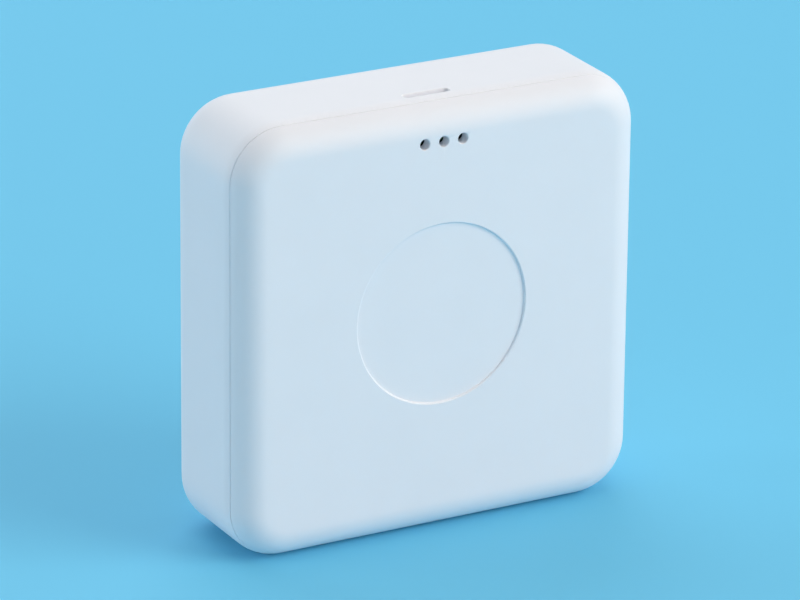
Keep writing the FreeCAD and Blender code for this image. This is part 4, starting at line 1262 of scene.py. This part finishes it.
foamPad()
foamRing("sensorGasket", "sensor_gasket", gasketValues["sensorWall"])
foamRing("displayGasket", "lcd_gasket", gasketValues["displayWall"])
print("soft parts made")


# Inner pieces with broken edges

# the distance in metres within which points are one, and angles in degrees
edgeValues = {"samePoint": 1e-6, "flat": 0.5, "sharp": 40, "segments": 2}


def brokenEdges(name, node, edge, material, slot):
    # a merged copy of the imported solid, its flats joined up and its edges slightly rounded
    values = edgeValues
    work = bmesh.new()
    work.from_mesh(frame["nodes"][node].data)
    bmesh.ops.remove_doubles(work, verts=work.verts, dist=values["samePoint"])
    flat = math.radians(values["flat"])
    bmesh.ops.dissolve_limit(work, angle_limit=flat, verts=work.verts, edges=work.edges)
    mesh = bpy.data.meshes.new(name)
    work.to_mesh(mesh)
    work.free()
    piece = addObject(name, mesh)
    bevel = piece.modifiers.new("brokenEdges", "BEVEL")
    bevel.width = edge * millimetre
    bevel.segments = values["segments"]
    bevel.limit_method = "ANGLE"
    bevel.angle_limit = math.radians(values["sharp"])
    finishPiece(piece, [material], node, sharp=values["sharp"])


# piece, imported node, width of the broken edge in millimetres, finish and slot
edgePieces = [
    ("batteryFrame", "battery_frame", 0.12, framePlastic, "frame"),
    ("sensorBoard", "sensor_board", 0.05, greenBoard, "board"),
    ("sensorChip", "sensor_chip", 0.06, blackEpoxy, "chip"),
    ("linkPlate", "battery_link_plate", 0.05, nickel, "plated_steel"),
    ("negativePlate", "battery_negative_plate", 0.05, nickel, "plated_steel"),
    ("positivePlate", "battery_positive_plate", 0.05, nickel, "plated_steel"),
]
for edgePiece in edgePieces:
    brokenEdges(*edgePiece)

buttonValues = {
    "stem": 1.2,
    "cap": 2.0,
    "flangeFace": 3.9,
    "flangeThick": 0.8,
    "topRound": 0.25,
    "footMiddle": 0.3,
    "dishRadius": 1.2,
    "dishDepth": 0.15,
    "dishSlope": (0.8, 0.4),
    "dishMiddle": 0.2,
}


def pairButton():
    # a turned cap with a flange below and a shallow dish in its top, whose slope ends at a share
    # of its depth and so far in from its rim
    values = buttonValues
    low, high = cornersOf("pair_button")
    middle, foot, top = (low + high) / 2, low[1], high[1]
    flange, face = (high[0] - low[0]) / 2, values["flangeFace"]
    under = face - values["flangeThick"]
    dish, depth = values["dishRadius"], values["dishDepth"]
    share, inwards = values["dishSlope"]
    section = softProfile([
        (foot, values["footMiddle"], 0),
        (foot, values["stem"], crispEdge),
        (under, values["stem"], crispEdge),
        (under, flange, fineEdge),
        (face, flange, fineEdge),
        (face, values["cap"], crispEdge),
        (top, values["cap"], values["topRound"]),
        (top, dish, fineEdge),
        (top - share * depth, dish - inwards, fineEdge),
        (top - depth, values["dishMiddle"], 0),
    ], steps=4, guard=0.05)
    turnedCap = turned(section, (middle[0], 0, middle[2]), "Y", around=56)
    piece = solid("pairButton", [loft(turnedCap)])
    finishPiece(piece, [buttonPlastic], "pair_button", "pair_button_body")


pairButton()

# What stays as packed, with its finish
keptFinishes = {
    "window_tape": printedInk("doubleSidedTape", "tape", roughness=0.6),
    "lcd_front_glass": printedInk("displayGlassEdge", "frontGlass", roughness=0.2),
    "lcd_rear_glass": printedInk("displayRearGlass", "rearGlass", roughness=0.2),
    "lcd_reflector": lcdFinish("displayReflector", "reflector"),
    "lcd_holder": darkInsert,
    "zebra_strip": stripedRubber("layeredRubber", "contactRubber"),
    "main_board": greenBoard,
    "radio_board": boardFinish("radioBoard", "radioBoard"),
    "radio_shield": nickel,
    "controller_chip": blackEpoxy,
    "crystal": nickel,
    "chip_capacitors": endCapped("chipCapacitorFinish", "capacitor", "chip_capacitors"),
    "chip_resistors": endCapped("chipResistorFinish", "resistor", "chip_resistors"),
    "sensor_pins": gold,
    "sensor_header_block": darkInsert,
    "switch_base": darkInsert,
    "switch_cover": nickel,
    "switch_dome": springSteel,
    "switch_plunger": darkInsert,
}
for node, material in keptFinishes.items():
    kept = frame["nodes"][node]
    kept.data.materials.clear()
    kept.data.materials.append(material)
print("inner pieces finished")


# The stage

# lamps are (name, place, width, power, colour), in metres and watts
stageValues = {
    "floor": "6ac9ef",
    "floorShade": "67c7ee",
    "backdrop": "78ccf1",
    "fade": (0.3, 1.1),
    "floorHalf": 9.0,
    "horizonLight": "fff8f1",
    "horizonStrength": 0.945,
    "ceilingLight": "ffffff",
    "ceilingStrength": 0.02,
    "ceilingRise": (0.25, 0.7),
    "lampTarget": (0, 0, 0.03),
    "lamps": [
        ("keyLamp", (-0.68, 0.75, 0.6), 0.8, 7.5, "fff2e5"),
        ("upperLamp", (-0.92, 0.38, 0.75), 0.8, 1.4, "ffeee2"),
        ("sideLamp", (0.88, -0.6, 0.24), 0.4, 2.4, "fffcf9"),
        ("rearLamp", (-0.1, -0.8, 0.85), 1.2, 5.4, "f3faff"),
        ("topLamp", (0.0, 0.1, 1.1), 1.0, 2.7, "fefcff"),
    ],
}


def seenDirectly(graph):
    # 1 for what the camera, a mirror-like surface or a clear one shows, 0 for light on the object
    rays = ("Is Camera Ray", "Is Glossy Ray", "Is Transmission Ray")
    return sum(graph.node("LightPath", output=ray) for ray in rays).lesser(1.0)


def paleFloor():
    # a wide flat square with a soft paper grain, which turns into the backdrop further out
    half = stageValues["floorHalf"]
    corners = [(-half, -half, 0), (half, -half, 0), (half, half, 0), (-half, half, 0)]
    mesh = bpy.data.meshes.new("floor")
    mesh.from_pydata(corners, [], [(0, 1, 2, 3)])
    floor = addObject("floor", mesh)
    graph = Graph("paleFloor")
    colors = [hexColor(stageValues[key]) for key in ("floor", "floorShade")]
    tone = graph.mix(graph.noise(180.0), *colors)
    grain = graph.bump(graph.noise(0.5), 0.004, strength=0.3)
    paper = graph.principled(tone, 0.7, grain)
    backdrop = graph.node("Emission", None, {"Color": hexColor(stageValues["backdrop"])})
    distance = graph.node("VectorMath", {"operation": "LENGTH"}, {0: graph.place()}, "Value")
    share = graph.rise(distance, stageValues["fade"], "SMOOTHSTEP") * seenDirectly(graph)
    surface = graph.node("MixShader", None, {0: share, 1: paper, 2: backdrop})
    mesh.materials.append(graph.done(surface))


def areaLight(name, place, size, power, color):
    # a soft round lamp that faces the object
    data = bpy.data.lights.new(name, "AREA")
    data.shape = "DISK"
    data.size = size
    data.energy = power
    data.color = hexColor(color)[:3]
    lamp = addObject(name, data)
    facing = Vector(stageValues["lampTarget"]) - Vector(place)
    lamp.location = place
    lamp.rotation_mode = "QUATERNION"
    lamp.rotation_quaternion = facing.to_track_quat("-Z", "Y")


def lightStage():
    # light from round the horizon that fades upwards, and the plain backdrop wherever it is seen
    graph = Graph("paleWorld", "worlds")
    values = stageValues
    height = graph.axis("Z", graph.node("TexCoord", output="Generated"))
    above = graph.rise(height, values["ceilingRise"])
    horizon = graph.background(values["horizonLight"], values["horizonStrength"])
    ceiling = graph.background(values["ceilingLight"], values["ceilingStrength"])
    light = graph.node("MixShader", None, {0: above, 1: horizon, 2: ceiling})
    backdrop = graph.background(values["backdrop"], 1.0)
    surface = graph.node("MixShader", None, {0: seenDirectly(graph), 1: light, 2: backdrop})
    bpy.context.scene.world = graph.done(surface, "OutputWorld")
    for lamp in values["lamps"]:
        areaLight(*lamp)


# places in metres, roll in degrees, lens and sensor in millimetres
cameraValues = {
    "eye": (0.33666, 0.61307, 0.29785),
    "target": (0.00097, 0.0, 0.02976),
    "roll": 0.571,
    "lens": 254.67,
    "sensor": 36.0,
    "nearest": 0.01,
}


def aimCamera():
    # the photograph's viewing angle: a long lens looking down at the back, turned by a slight roll
    values = cameraValues
    data = bpy.data.cameras.new("camera")
    data.lens = values["lens"]
    data.sensor_width = values["sensor"]
    data.clip_start = values["nearest"]
    camera = addObject("camera", data)
    eye, target = Vector(values["eye"]), Vector(values["target"])
    facing = (target - eye).to_track_quat("-Z", "Y").to_matrix().to_4x4()
    roll = Matrix.Rotation(math.radians(values["roll"]), 4, "Z")
    camera.matrix_world = Matrix.Translation(eye) @ facing @ roll
    bpy.context.scene.camera = camera


paleFloor()
lightStage()
aimCamera()
bpy.context.scene.view_settings.view_transform = "Standard"
print("stage made")
